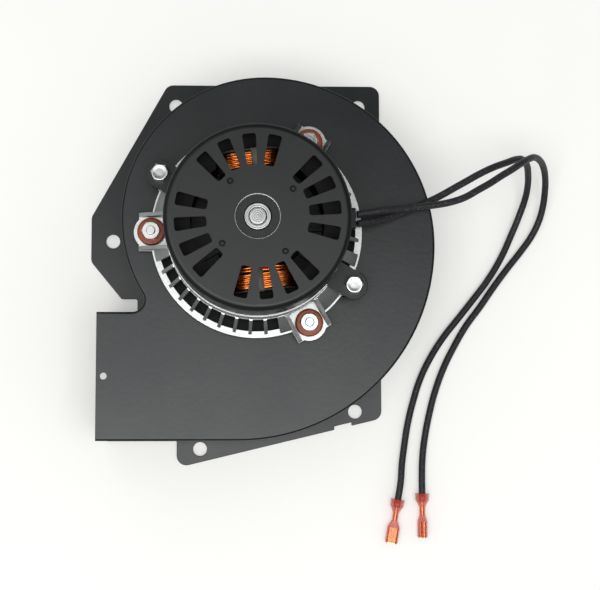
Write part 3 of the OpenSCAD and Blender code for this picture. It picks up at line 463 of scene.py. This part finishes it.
# %% [markdown]
# ## Softened edges
#
# A solid modeller leaves knife edges. Pressed, cast and plated edges are round, and those round
# edges catch the light. A copy of the solid's mesh is merged, its flat triangles are dissolved,
# and its sharp edges get a bevel. Weighted normals then keep the flat faces flat to the eye.

# %% Helper for softened copies
FLAT_ANGLE = 0.5


def softened(node, body, *rounds, sharp=35, clamp=True, before=None):
    """A copy of a solid with sharp edges rounded; each round is a width, segments and a test."""
    bm = bmesh.new()
    bm.from_mesh(nodes[node].data)
    bmesh.ops.remove_doubles(bm, verts=bm.verts, dist=MERGE_DIST)
    bmesh.ops.dissolve_limit(bm, angle_limit=math.radians(FLAT_ANGLE), verts=bm.verts,
                             edges=bm.edges)
    if before:
        before(bm)
    for width, segments, test in rounds:
        edges = [e for e in bm.edges if len(e.link_faces) == 2
                 and e.calc_face_angle() > math.radians(sharp)
                 and test((e.verts[0].co + e.verts[1].co) / 2 / MM)]
        bmesh.ops.bevel(bm, geom=edges, offset=width * MM, offset_type="OFFSET", affect="EDGES",
                        segments=segments, profile=0.5, clamp_overlap=clamp, material=-1)
    piece = add_piece(node + "_soft", bm, body, slot_of[node], node)
    piece.modifiers.new("flat_faces", "WEIGHTED_NORMAL").keep_sharp = True


def anywhere(point):
    """The test that takes every edge."""
    return True


def turned(angle, reach):
    """A flat vector at an angle in degrees, of a given length."""
    return Vector((math.cos(math.radians(angle)), math.sin(math.radians(angle)))) * reach


# %% [markdown]
# ## Folded steel and the casting
#
# The motor-side plate is drawn over a former, so its rim turns down in a generous round, much
# wider than the sheet is thick. The mounting plate is only sheared, which leaves a small round,
# and its edge is drawn in where the outlet's screw hole looks past it on to the table. The
# casting has the even small rounds of a die. Its bosses are drawn in under the shell's ears, and
# small blocks fill each lug's floor in to the rim. The shell has the rounds of a press tool, and
# a groove round the floor of each dimple.

# %% Which edges get which round
NEAR = 0.1  # two heights or edges within this are the same
SIDE_TOP, FACE_TOP, EAR_TOP = 52.2, 112.7, 70.5
MOTOR_HOLE_R, MOUTH_X = 56, -76
OUTLET_HOLE, OUTLET_HOLE_CLEAR = Vector((-73.9, -69.25)), 3
DIMPLE_REACH, DIMPLE_R, DIMPLE_CLEAR, DIMPLE_LOW = 20.2, 1.6, 1.9, 110
EAR_ANGLES, EAR_REACH, EAR_R = (150, 330), 53.5, 9
ear_spots = [turned(angle, EAR_REACH) for angle in EAR_ANGLES]


def on_drawn_edge(point):
    """The motor-side plate's outer rim, without its outlet and the screw hole there."""
    return (point.z > SIDE_TOP - NEAR and point.xy.length > MOTOR_HOLE_R and point.x > MOUTH_X
            and (point.xy - OUTLET_HOLE).length > OUTLET_HOLE_CLEAR)


def at_dimples(point):
    return abs(point.xy.length - DIMPLE_REACH) < DIMPLE_R and point.z > FACE_TOP - NEAR


def off_dimples(point):
    return abs(point.xy.length - DIMPLE_REACH) > DIMPLE_CLEAR or point.z < DIMPLE_LOW


def at_ears(point):
    return point.z < EAR_TOP and min((point.xy - spot).length for spot in ear_spots) < EAR_R


print("ears at", [[round(v, 1) for v in spot] for spot in ear_spots])

# %% Small forms that come before the rounds
UPWARD = 0.99  # a face whose direction has this upward part is level
PLATE_EDGE_X, PLATE_EDGE_TOP, PLATE_EDGE_IN = -77.5, -30, 1.2
DIMPLE_AREA, GROOVE_DEEP, GROOVE_W, GROOVE_LIFT = 8, 0.3, 0.5, 0.4
FLANGE_R, BOSS_IN, BOSS_LOW_R, BOSS_HIGH_R = 51.4, 2.2, 6.6, 7.5
LUG_ANGLES, FLOOR_TOP, LUG_BLOCK_H = (60, 180, 300), 58.65, 2
LUG_BLOCKS = ((42.6, 45.6, 0, 14.5), (45.5, 48.8, 6.2, 2.1), (45.5, 48.8, -6.2, 2.1))


def clear_outlet(bm):
    """Draws the mounting plate's edge in, so that the outlet's screw hole looks on to the table."""
    rim = [v for v in bm.verts if abs(v.co.x / MM - PLATE_EDGE_X) < NEAR
           and v.co.y < PLATE_EDGE_TOP * MM]
    bmesh.ops.translate(bm, verts=rim, vec=(PLATE_EDGE_IN * MM, 0, 0))


def groove_dimples(bm):
    """Presses a groove round each dimple's floor, as a staking punch does."""
    floors = [f for f in bm.faces if f.normal.z > UPWARD
              and f.calc_area() < DIMPLE_AREA * MM * MM
              and DIMPLE_LOW < f.calc_center_median().z / MM < FACE_TOP - NEAR]
    bmesh.ops.translate(bm, verts=list({v for f in floors for v in f.verts}),
                        vec=(0, 0, -GROOVE_DEEP * MM))
    bmesh.ops.inset_individual(bm, faces=floors, thickness=GROOVE_W * MM, depth=GROOVE_LIFT * MM)
    print(len(floors), "dimples grooved")


def trim_casting(bm):
    """Draws the bosses in under their ears, and fills each lug's floor in to the rim."""
    print("trimming a casting of", len(bm.faces), "faces")
    for vert in bm.verts:
        for spot in ear_spots:
            reach = vert.co.xy / MM - spot
            if BOSS_LOW_R < reach.length < BOSS_HIGH_R and vert.co.xy.length > FLANGE_R * MM:
                vert.co.xy = (spot + reach.normalized() * (reach.length - BOSS_IN)) * MM
    for angle in LUG_ANGLES:
        turn = Matrix.Rotation(math.radians(angle), 4, "Z")
        for low_x, high_x, y, width in LUG_BLOCKS:
            middle = Vector(((low_x + high_x) / 2, y, FLOOR_TOP - LUG_BLOCK_H / 2)) * MM
            size = Vector((high_x - low_x, width, LUG_BLOCK_H)) * MM
            bmesh.ops.create_cube(bm, size=1, matrix=turn @ Matrix.Translation(middle)
                                  @ Matrix.Diagonal(size).to_4x4())


# %% Softened steel and castings
softened("motor_side_plate", "housing", (1.3, 4, on_drawn_edge), clamp=False)
softened("mounting_plate", "housing", (0.3, 2, anywhere), before=clear_outlet)
softened("scroll_wall", "housing", (0.2, 1, anywhere))
softened("motor_bracket", "housing", (0.3, 2, anywhere), before=trim_casting)
softened("motor_shell", "housing", (0.4, 3, at_ears), (0.18, 1, at_dimples),
         (0.25, 2, off_dimples), before=groove_dimples)
softened("lead_bushing", "housing", (0.5, 3, anywhere))

# %% [markdown]
# ## Fasteners
#
# The rim of each nut's hole gets a small chamfer, where the thread starts, before the other edges
# get their small rounds. A cold header leaves a shallow dish in a screw's head, so three insets
# step down into it. Rubber has no sharp edge, so the grommets get a wide round. The studs are
# turned: one profile with a few thread crests at its end, spun about each stud's axis.

# %% Nuts, screws and studs
STUD_REACH, STUD_R = 50.8, 2.05
STUD_LOW, HEAD_H, THREAD_LOW, STUD_TOP, PITCH = 50.0, 1.2, 63.0, 67.0, 0.8
THREAD_DEEP, TIP_PLAIN, TIP_CHAMFER, TIP_RING = 0.25, 0.5, 0.15, 0.25
NUT_TOP, NUT_HOLE_R, SCREW_TOP = 65.4, 2.4, 73.0
DISH_STEPS = ((0.5, 0), (0.9, -0.12), (0.9, -0.05))  # how far in, how far down
lug_spots = [turned(angle, STUD_REACH) for angle in LUG_ANGLES]


def at_nut_hole(point):
    reach = min((point.xy - spot).length for spot in lug_spots)
    return point.z > NUT_TOP - NEAR and reach < NUT_HOLE_R


def lathe(bm, profile, spot, steps=32):
    """Spins a profile of (radius, height) points, in millimetres, about an upright axis."""
    verts = [bm.verts.new(Vector((spot[0] + r, spot[1], z)) * MM) for r, z in profile]
    edges = [bm.edges.new(pair) for pair in zip(verts, verts[1:])]
    bmesh.ops.spin(bm, geom=verts + edges, cent=Vector((spot[0], spot[1], 0)) * MM,
                   axis=(0, 0, 1), angle=2 * math.pi, steps=steps, use_merge=True)
    bmesh.ops.remove_doubles(bm, verts=bm.verts, dist=MERGE_DIST)
    bmesh.ops.recalc_face_normals(bm, faces=bm.faces)


def dish_heads(bm):
    """Presses a shallow dish into each screw's head, as a cold header leaves it."""
    tops = [f for f in bm.faces if f.normal.z > UPWARD
            and f.calc_center_median().z > SCREW_TOP * MM]
    for width, rise in DISH_STEPS:
        bmesh.ops.inset_individual(bm, faces=tops, thickness=width * MM, depth=rise * MM)


softened("mount_nuts", "housing", (0.1, 1, at_nut_hole), (0.2, 2, anywhere))
softened("isolation_grommets", "housing", (0.6, 3, anywhere))
softened("shell_screws", "housing", (0.25, 2, anywhere), before=dish_heads)

crests = int((STUD_TOP - TIP_PLAIN - THREAD_LOW) / PITCH)
thread = [(STUD_R - depth, THREAD_LOW + PITCH * (i + part))
          for i in range(crests) for part, depth in ((0.1, THREAD_DEEP), (0.5, 0), (0.6, 0))]
bm = bmesh.new()
for spot in lug_spots:
    lathe(bm, [(0, STUD_LOW), (2 * STUD_R, STUD_LOW), (2 * STUD_R, STUD_LOW + HEAD_H),
               (STUD_R, STUD_LOW + HEAD_H)] + thread
          + [(STUD_R, STUD_TOP - TIP_PLAIN), (STUD_R, STUD_TOP - TIP_CHAMFER),
             (STUD_R - TIP_CHAMFER, STUD_TOP), (STUD_R - TIP_RING, STUD_TOP), (0, STUD_TOP)],
          spot)
add_piece("mount_studs_threaded", bm, "housing", slot_of["mount_studs"], "mount_studs")

# %% [markdown]
# ## The bearing and the shaft's end
#
# Ground rings have a clear chamfer at each edge. Where two chamfers meet they make a fine dark
# groove, which is how a bearing's rings stay apart in a picture.

# %% Softened bearing and shaft
softened("motor_shaft", "rotor", (0.5, 2, anywhere))
softened("rear_bearing_inner_race", "rotor", (0.35, 2, anywhere))
softened("rear_bearing_outer_race", "housing", (0.25, 2, anywhere))

# %% [markdown]
# ## Wound copper
#
# Each pole carries a coil of magnet wire. A solid block of copper never looks wound, so the two
# outer layers are one long wire each: a curve that goes round the pole's neck in a rounded
# rectangle and moves along by its own width with each turn. Real wire here is near half a
# millimetre and would blur, so it is drawn 1.4 mm thick. Hand-laid turns are never quite
# even, so each point is nudged a little, from a fixed seed, and two loose turns have slipped off
# the lower coil towards the shaft. A shrunken copy of the coil fills the dark behind the wires.

# %% Coils
MAGNET_WIRE_D, WIRE_PITCH = 1.4, 1.5
POLE_ANGLES = (96, 276)
COIL_X = (23.95, 32.05)
COIL_HALF_W, COIL_HALF_H, COIL_CORNER_R = 15.75, 16.75, 8.4
STACK_MIDDLE = 86.75
LAYER_DEPTHS = (0.55, 1.4)  # in widths of the wire
LOOSE_GAP, LOOSE_TURNS, LOOSE_DEPTH, LOOSE_LENGTH = 1.2, 2, 0.7, 2.4
NUDGE, SLACK, CORE_IN = 0.25, 0.012, 1.1
rng = random.Random(7)


def turn_points(inset):
    """Points (y, z) of one turn round the pole: each round corner, then the middle of a run."""
    half_w, half_h, r = COIL_HALF_W - inset, COIL_HALF_H - inset, COIL_CORNER_R - inset
    points = []
    for side_y, side_z, start, middle in ((1, 1, 0, (0, half_h)), (-1, 1, 90, (-half_w, 0)),
                                          (-1, -1, 180, (0, -half_h)), (1, -1, 270, (half_w, 0))):
        corner = Vector((side_y * (half_w - r), side_z * (half_h - r)))
        points += [corner + turned(start + step, r) for step in (0, 45, 90)] + [Vector(middle)]
    return points


def coil_curve(name, pole_angle, loose):
    """Magnet wire round a pole: two layers, and loose turns over a length where it has them."""
    curve = bpy.data.curves.new(name, "CURVE")
    curve.dimensions = "3D"
    curve.bevel_depth = MAGNET_WIRE_D / 2 * MM
    curve.bevel_resolution = 1
    curve.resolution_u = 3
    stand = Matrix.Rotation(math.radians(pole_angle), 4, "Z") @ Matrix.Translation(
        (0, 0, STACK_MIDDLE * MM))
    near, far = COIL_X[0] + MAGNET_WIRE_D / 2, COIL_X[1] - MAGNET_WIRE_D / 2
    full = int((far - near) / WIRE_PITCH)
    layers = [(near, far, full, LAYER_DEPTHS[0]), (far, near, full, LAYER_DEPTHS[1])]
    if loose:
        layers.append((near - LOOSE_GAP, near - LOOSE_GAP - loose, LOOSE_TURNS, LOOSE_DEPTH))
    for start, end, turns, depth in layers:
        ring = turn_points(MAGNET_WIRE_D * depth)
        spline = curve.splines.new("BEZIER")
        count = turns * len(ring)
        spline.bezier_points.add(count - 1)
        for i, knot in enumerate(spline.bezier_points):
            y, z = ring[i % len(ring)]
            share = i / (count - 1)
            x = start + (end - start) * share
            tight = 1 - rng.uniform(0, SLACK)
            x += rng.uniform(-NUDGE, NUDGE)
            knot.co = stand @ (Vector((x, y * tight, z * tight)) * MM)
            knot.handle_left_type = knot.handle_right_type = "AUTO"
    coil = bpy.data.objects.new(name, curve)
    scene.collection.objects.link(coil)
    curve.materials.append(finishes["copper_wire"])
    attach(coil, "housing")
    print(name, "has", len(curve.splines), "runs of wire")


coil_curve("coil_wire_1", POLE_ANGLES[0], 0)
coil_curve("coil_wire_2", POLE_ANGLES[1], LOOSE_LENGTH)

bm = bmesh.new()
bm.from_mesh(nodes["field_coils"].data)
bmesh.ops.remove_doubles(bm, verts=bm.verts, dist=MERGE_DIST)
core = add_piece("coil_core", bm, "housing", "copper_wire", "field_coils")
shrink = core.modifiers.new("shrink", "DISPLACE")
shrink.mid_level = 0
shrink.strength = -CORE_IN * MM

# %% [markdown]
# ## Tape over the coils
#
# A strip of insulating sheet lies over each coil's end turns, where the lead wires are joined.
# It is one folded profile, extruded sideways and given a thickness. It counts with the bobbins'
# plastic, and takes a finish of its own.

# %% Tape strips
TAPE_Y, TAPE_W, TAPE_T = -4.6, 4.5, 0.3
TAPE_FOLD = [(22.7, 98.5), (22.8, 103.2), (23.6, 104.0), (32.4, 104.0), (33.2, 103.2),
             (33.3, 98.5)]
bm = bmesh.new()
for pole_angle in POLE_ANGLES:
    verts = [bm.verts.new(Vector((x, TAPE_Y, z)) * MM) for x, z in TAPE_FOLD]
    edges = [bm.edges.new(pair) for pair in zip(verts, verts[1:])]
    moved = bmesh.ops.extrude_edge_only(bm, edges=edges)["geom"]
    moved = [v for v in moved if isinstance(v, bmesh.types.BMVert)]
    bmesh.ops.translate(bm, verts=moved, vec=(0, TAPE_W * MM, 0))
    bmesh.ops.rotate(bm, verts=verts + moved, cent=(0, 0, 0),
                     matrix=Matrix.Rotation(math.radians(pole_angle), 3, "Z"))
bmesh.ops.recalc_face_normals(bm, faces=bm.faces)
tape = add_piece("coil_tape", bm, "housing", "bobbin_nylon")
tape.data.materials[0] = finishes["coil_tape"]
thick = tape.modifiers.new("thickness", "SOLIDIFY")
thick.thickness = TAPE_T * MM

# %% [markdown]
# ## Push-on terminals
#
# A terminal's sleeve is a thin moulded tube: a flare that guides the lead in, a waist crimped
# on the wire, and a flat part for the tab. Rings are extruded along it and scaled, the flat part
# starts from a rectangle with rounded corners, and bridging joins the two. A solidify modifier
# gives the wall. Inside are the bare wire's end, the crimped barrel and the contact: one brass
# strip with both long edges rolled in, whose flat back faces up or down.

# %% Sizes and helpers of the terminals
FLARE_D, FLARE_L, TAPER_END, WAIST_END, TAB_START, TERMINAL_L = 7.4, 3.4, 6.6, 10.6, 14.3, 22.4
WAIST_D, TAB_W, TAB_H, TAB_WALL = 3.2, 6.6, 3.4, 0.4
TAB_CORNER_R = TAB_H / 2 - 0.3
SLEEVE_PROFILE = [(0, FLARE_D / 2), (FLARE_L, FLARE_D / 2 - 0.15), (5.0, 2.6),
                  (TAPER_END, WAIST_D / 2 + 0.2), (7.6, WAIST_D / 2), (WAIST_END, WAIST_D / 2)]
ALONG_X = Matrix.Rotation(math.radians(90), 4, "Y")


def extrude_ring(bm, edges, step, scale=1.0):
    """Carries a ring of edges on along X by a step in millimetres, and scales it."""
    made = bmesh.ops.extrude_edge_only(bm, edges=edges)["geom"]
    verts = [v for v in made if isinstance(v, bmesh.types.BMVert)]
    bmesh.ops.translate(bm, verts=verts, vec=(step * MM, 0, 0))
    bmesh.ops.scale(bm, verts=verts, vec=(1, scale, scale))
    return [e for e in made if isinstance(e, bmesh.types.BMEdge)
            and all(v in verts for v in e.verts)]


def stood(bm, route, roll):
    """Stands a terminal's pieces, drawn along X, at the end of a lead."""
    tip, way = end_of(route)
    stand = (Matrix.Translation(tip) @ Matrix.Rotation(math.atan2(way.y, way.x), 4, "Z")
             @ Matrix.Rotation(math.radians(roll), 4, "X"))
    bmesh.ops.transform(bm, matrix=stand, verts=bm.verts)


print("sleeve of", TERMINAL_L, "mm with", len(SLEEVE_PROFILE), "rings before its flat part")

# %% Sleeve


def sleeve_of(name, route, roll):
    """The thin nylon sleeve of a terminal, rolled about its lead by degrees."""
    bm = bmesh.new()
    made = bmesh.ops.create_circle(bm, radius=FLARE_D / 2 * MM, segments=24, matrix=ALONG_X)
    ring = list({e for v in made["verts"] for e in v.link_edges})
    for (x_a, r_a), (x_b, r_b) in zip(SLEEVE_PROFILE, SLEEVE_PROFILE[1:]):
        ring = extrude_ring(bm, ring, x_b - x_a, r_b / r_a)
    made = bmesh.ops.create_grid(bm, x_segments=1, y_segments=1, size=0.5 * MM,
                                 matrix=Matrix.Translation((TAB_START * MM, 0, 0)) @ ALONG_X)
    bmesh.ops.scale(bm, verts=made["verts"], vec=(1, TAB_W, TAB_H))
    round_verts = bmesh.ops.bevel(bm, geom=made["verts"], offset=TAB_CORNER_R * MM,
                                  offset_type="OFFSET", affect="VERTICES", segments=5,
                                  profile=0.5, material=-1)["verts"]
    flat = list({f for v in round_verts for f in v.link_faces})
    tab = list({e for f in flat for e in f.edges})
    bmesh.ops.delete(bm, geom=flat, context="FACES_ONLY")
    bmesh.ops.bridge_loops(bm, edges=ring + tab)
    extrude_ring(bm, tab, TERMINAL_L - TAB_START)
    bmesh.ops.recalc_face_normals(bm, faces=bm.faces)
    stood(bm, route, roll)
    sleeve = add_piece(name + "_nylon", bm, "housing", "terminal_nylon", name + "_sleeve")
    wall = sleeve.modifiers.new("wall", "SOLIDIFY")
    wall.thickness = TAB_WALL * MM
    wall.offset = -1
    return sleeve


# %% Barrel and contact
BARREL_PARTS = ((0.9, WIRE_IN_FLARE, 7.0), (1.15, 6.4, WAIST_END + 0.6))  # radius, start, end
CONTACT_START, CONTACT_W, CONTACT_L, ROLL_R, STRIP_T = TAB_START + 0.2, 5.7, 8.2, 1.1, 0.4


def barrel_of(name, route, roll):
    """The bare wire's end and the barrel that is crimped on it."""
    bm = bmesh.new()
    for radius, start, end in BARREL_PARTS:
        bmesh.ops.create_cone(bm, cap_ends=True, segments=16, radius1=radius * MM,
                              radius2=radius * MM, depth=(end - start) * MM,
                              matrix=Matrix.Translation(((start + end) / 2 * MM, 0, 0)) @ ALONG_X)
    stood(bm, route, roll)
    return add_piece(name + "_barrel", bm, "housing", "terminal_brass")


def contact_of(name, route, roll, back):
    """The rolled brass strip, whose flat back faces up where back is 1 and down where it is -1."""
    bm = bmesh.new()
    reach, curl = CONTACT_W / 2 - ROLL_R, ROLL_R - STRIP_T / 2
    # Round one rolled edge, over the flat back and round the other
    bend = [(-reach, a) for a in range(330, 60, -30)] + [(reach, a) for a in range(90, -180, -30)]
    strip = [Vector((y, 0)) + turned(a, curl) for y, a in bend]
    verts = [bm.verts.new(Vector((CONTACT_START, y, back * z)) * MM) for y, z in strip]
    edges = [bm.edges.new(pair) for pair in zip(verts, verts[1:])]
    extrude_ring(bm, edges, CONTACT_L)
    bmesh.ops.recalc_face_normals(bm, faces=bm.faces)
    stood(bm, route, roll)
    contact = add_piece(name + "_contact_rolled", bm, "housing", "terminal_brass",
                        name + "_contact")
    sheet = contact.modifiers.new("sheet", "SOLIDIFY")
    sheet.thickness = STRIP_T * MM
    sheet.offset = 0
    contact.modifiers.new("flat_faces", "WEIGHTED_NORMAL").keep_sharp = True
    return contact


# %% Both terminals
OUTER_ROLL, INNER_ROLL = 65, 12  # degrees, as each lies on the table


def terminal(name, route, roll, back):
    """A lead's terminal: its sleeve, its barrel and its contact."""
    return [sleeve_of(name, route, roll), barrel_of(name, route, roll),
            contact_of(name, route, roll, back)]


terminals = {"outer_lead": terminal("outer_terminal", OUTER_ROUTE, OUTER_ROLL, -1),
             "inner_lead": terminal("inner_terminal", INNER_ROUTE, INNER_ROLL, 1)}

# %% [markdown]
# ## The leads ride with the housing
#
# Now that the lead finish exists, each curve takes it, rides on the housing and replaces its
# plain solid.

# %% Leads on the housing
for lead, length, route, node in ((outer_lead, outer_length, OUTER_ROUTE, "outer_lead"),
                                  (inner_lead, inner_length, INNER_ROUTE, "inner_lead")):
    lead.data.materials.append(finishes["lead_insulation"])
    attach(lead, "housing")
    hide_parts(node)
print("cords:", round(outer_length, 4), round(inner_length, 4))

# %% [markdown]
# ## Table and light
#
# The blower lies on a white table in soft light. A pale floor keeps the shadow, a wide softbox
# hangs above it, a little to the front, and a plain world fills the rest. To the camera and in
# reflections the world is white and the floor glows a little, so the ground looks white without
# more light on the object. All-white surroundings would make bare metal look like paper, so a
# grey tent with an open top stands round the set, as it would in a studio. Only reflections see
# it, so it is a painted reflection: walls of metal turn grey, a painted lighter reflection stands
# high up at the left, and level faces stay bright.

# %% Floor
FLOOR_HALF, FLOOR_Z, FLOOR_GLOW = 3.0, -0.0002, 0.235


def seen_by_eye(tree):
    """1 for rays that the camera, a reflection or a clear plastic sends, 0 for light itself."""
    ray = add(tree, "LightPath")
    seen = add(tree, "Math", {0: ray.outputs["Is Camera Ray"], 1: ray.outputs["Is Glossy Ray"]},
               operation="MAXIMUM")
    return add(tree, "Math", {0: seen.outputs["Value"], 1: ray.outputs["Is Transmission Ray"]},
               operation="MAXIMUM").outputs["Value"]


floor_mesh = bpy.data.meshes.new("table")
bm = bmesh.new()
bmesh.ops.create_grid(bm, x_segments=1, y_segments=1, size=FLOOR_HALF)
bmesh.ops.translate(bm, verts=bm.verts, vec=(0, 0, FLOOR_Z))
bm.to_mesh(floor_mesh)
bm.free()
floor = bpy.data.objects.new("table", floor_mesh)
scene.collection.objects.link(floor)
tree, shader, place = start_finish("table", "white_table_laminate", Roughness=0.6,
                                   Specular_IOR_Level=0.0)
blotched(tree, shader, place, "#e2e2e0", "#e8e8e5", 120)
glow = add(tree, "Math", {0: seen_by_eye(tree), 1: FLOOR_GLOW}, operation="MULTIPLY")
shader.inputs["Emission Color"].default_value = linear("#fdfdfa")
tree.links.new(glow.outputs["Value"], shader.inputs["Emission Strength"])
floor_mesh.materials.append(finishes["table"])
print("floor of", finishes["table"].name, "set")

# %% Tent
TENT_LOW_R, TENT_TOP_R, TENT_H, TENT_LEAN = 0.75, 0.5, 0.9, (-0.1, -0.3, 0)
TENT_DARK_X, TENT_LIGHT_X, TENT_DARK_Z, TENT_LIGHT_Z = 0.1, -0.6, 0.2, 0.55
tent_mesh = bpy.data.meshes.new("tent")
bm = bmesh.new()
bmesh.ops.create_cone(bm, cap_ends=False, segments=48, radius1=TENT_LOW_R, radius2=TENT_TOP_R,
                      depth=TENT_H, matrix=Matrix.Translation((0, 0, TENT_H / 2)))
top = [v for v in bm.verts if v.co.z > TENT_H / 2]
bmesh.ops.translate(bm, verts=top, vec=TENT_LEAN)
bm.to_mesh(tent_mesh)
bm.free()
tent = bpy.data.objects.new("tent", tent_mesh)
scene.collection.objects.link(tent)
tree, shader, place = start_finish("tent", "painted_reflection_tent", Roughness=0.9)
across = add(tree, "SeparateXYZ", {"Vector": place})
side = add(tree, "MapRange", {"Value": across.outputs["X"], "From Min": TENT_DARK_X,
                              "From Max": TENT_LIGHT_X})
high = add(tree, "MapRange", {"Value": across.outputs["Z"], "From Min": TENT_DARK_Z,
                              "From Max": TENT_LIGHT_Z})
lit = add(tree, "Math", {0: side.outputs["Result"], 1: high.outputs["Result"]},
          operation="MULTIPLY")
# Painted reflection: the tent is dark low down and to the right, and lighter high at the left,
# where light comes from.
tone = add(tree, "Mix", {0: lit.outputs["Value"], 6: linear("#303334"), 7: linear("#d6dada")},
           data_type="RGBA")
tree.links.new(tone.outputs[2], shader.inputs["Base Color"])
tent_mesh.materials.append(finishes["tent"])
tent.visible_camera = tent.visible_diffuse = tent.visible_shadow = False
tent.visible_transmission = tent.visible_volume_scatter = False
print("tent of", finishes["tent"].name, "set")

# %% Lamp and world
SOFTBOX_W, SOFTBOX_D, SOFTBOX_WATT, SOFTBOX_AT = 1.4, 0.8, 13.1, (-0.1, -0.41, 1.5)
WORLD_LIGHT, WORLD_SEEN = 0.56, 1.0
softbox = bpy.data.lights.new("softbox", "AREA")
softbox.shape = "RECTANGLE"
softbox.size, softbox.size_y = SOFTBOX_W, SOFTBOX_D
softbox.energy = SOFTBOX_WATT
lamp = bpy.data.objects.new("softbox", softbox)
scene.collection.objects.link(lamp)
lamp.location = SOFTBOX_AT

world = bpy.data.worlds.new("room")
scene.world = world
world.use_nodes = True
sky = world.node_tree
level = add(sky, "MapRange", {"Value": seen_by_eye(sky), "To Min": WORLD_LIGHT,
                              "To Max": WORLD_SEEN})
sky.nodes["Background"].inputs["Color"].default_value = linear("#ffffff")
sky.links.new(level.outputs["Result"], sky.nodes["Background"].inputs["Strength"])
scene.view_settings.view_transform = "Standard"
print("softbox of", softbox.energy, "W and world set")
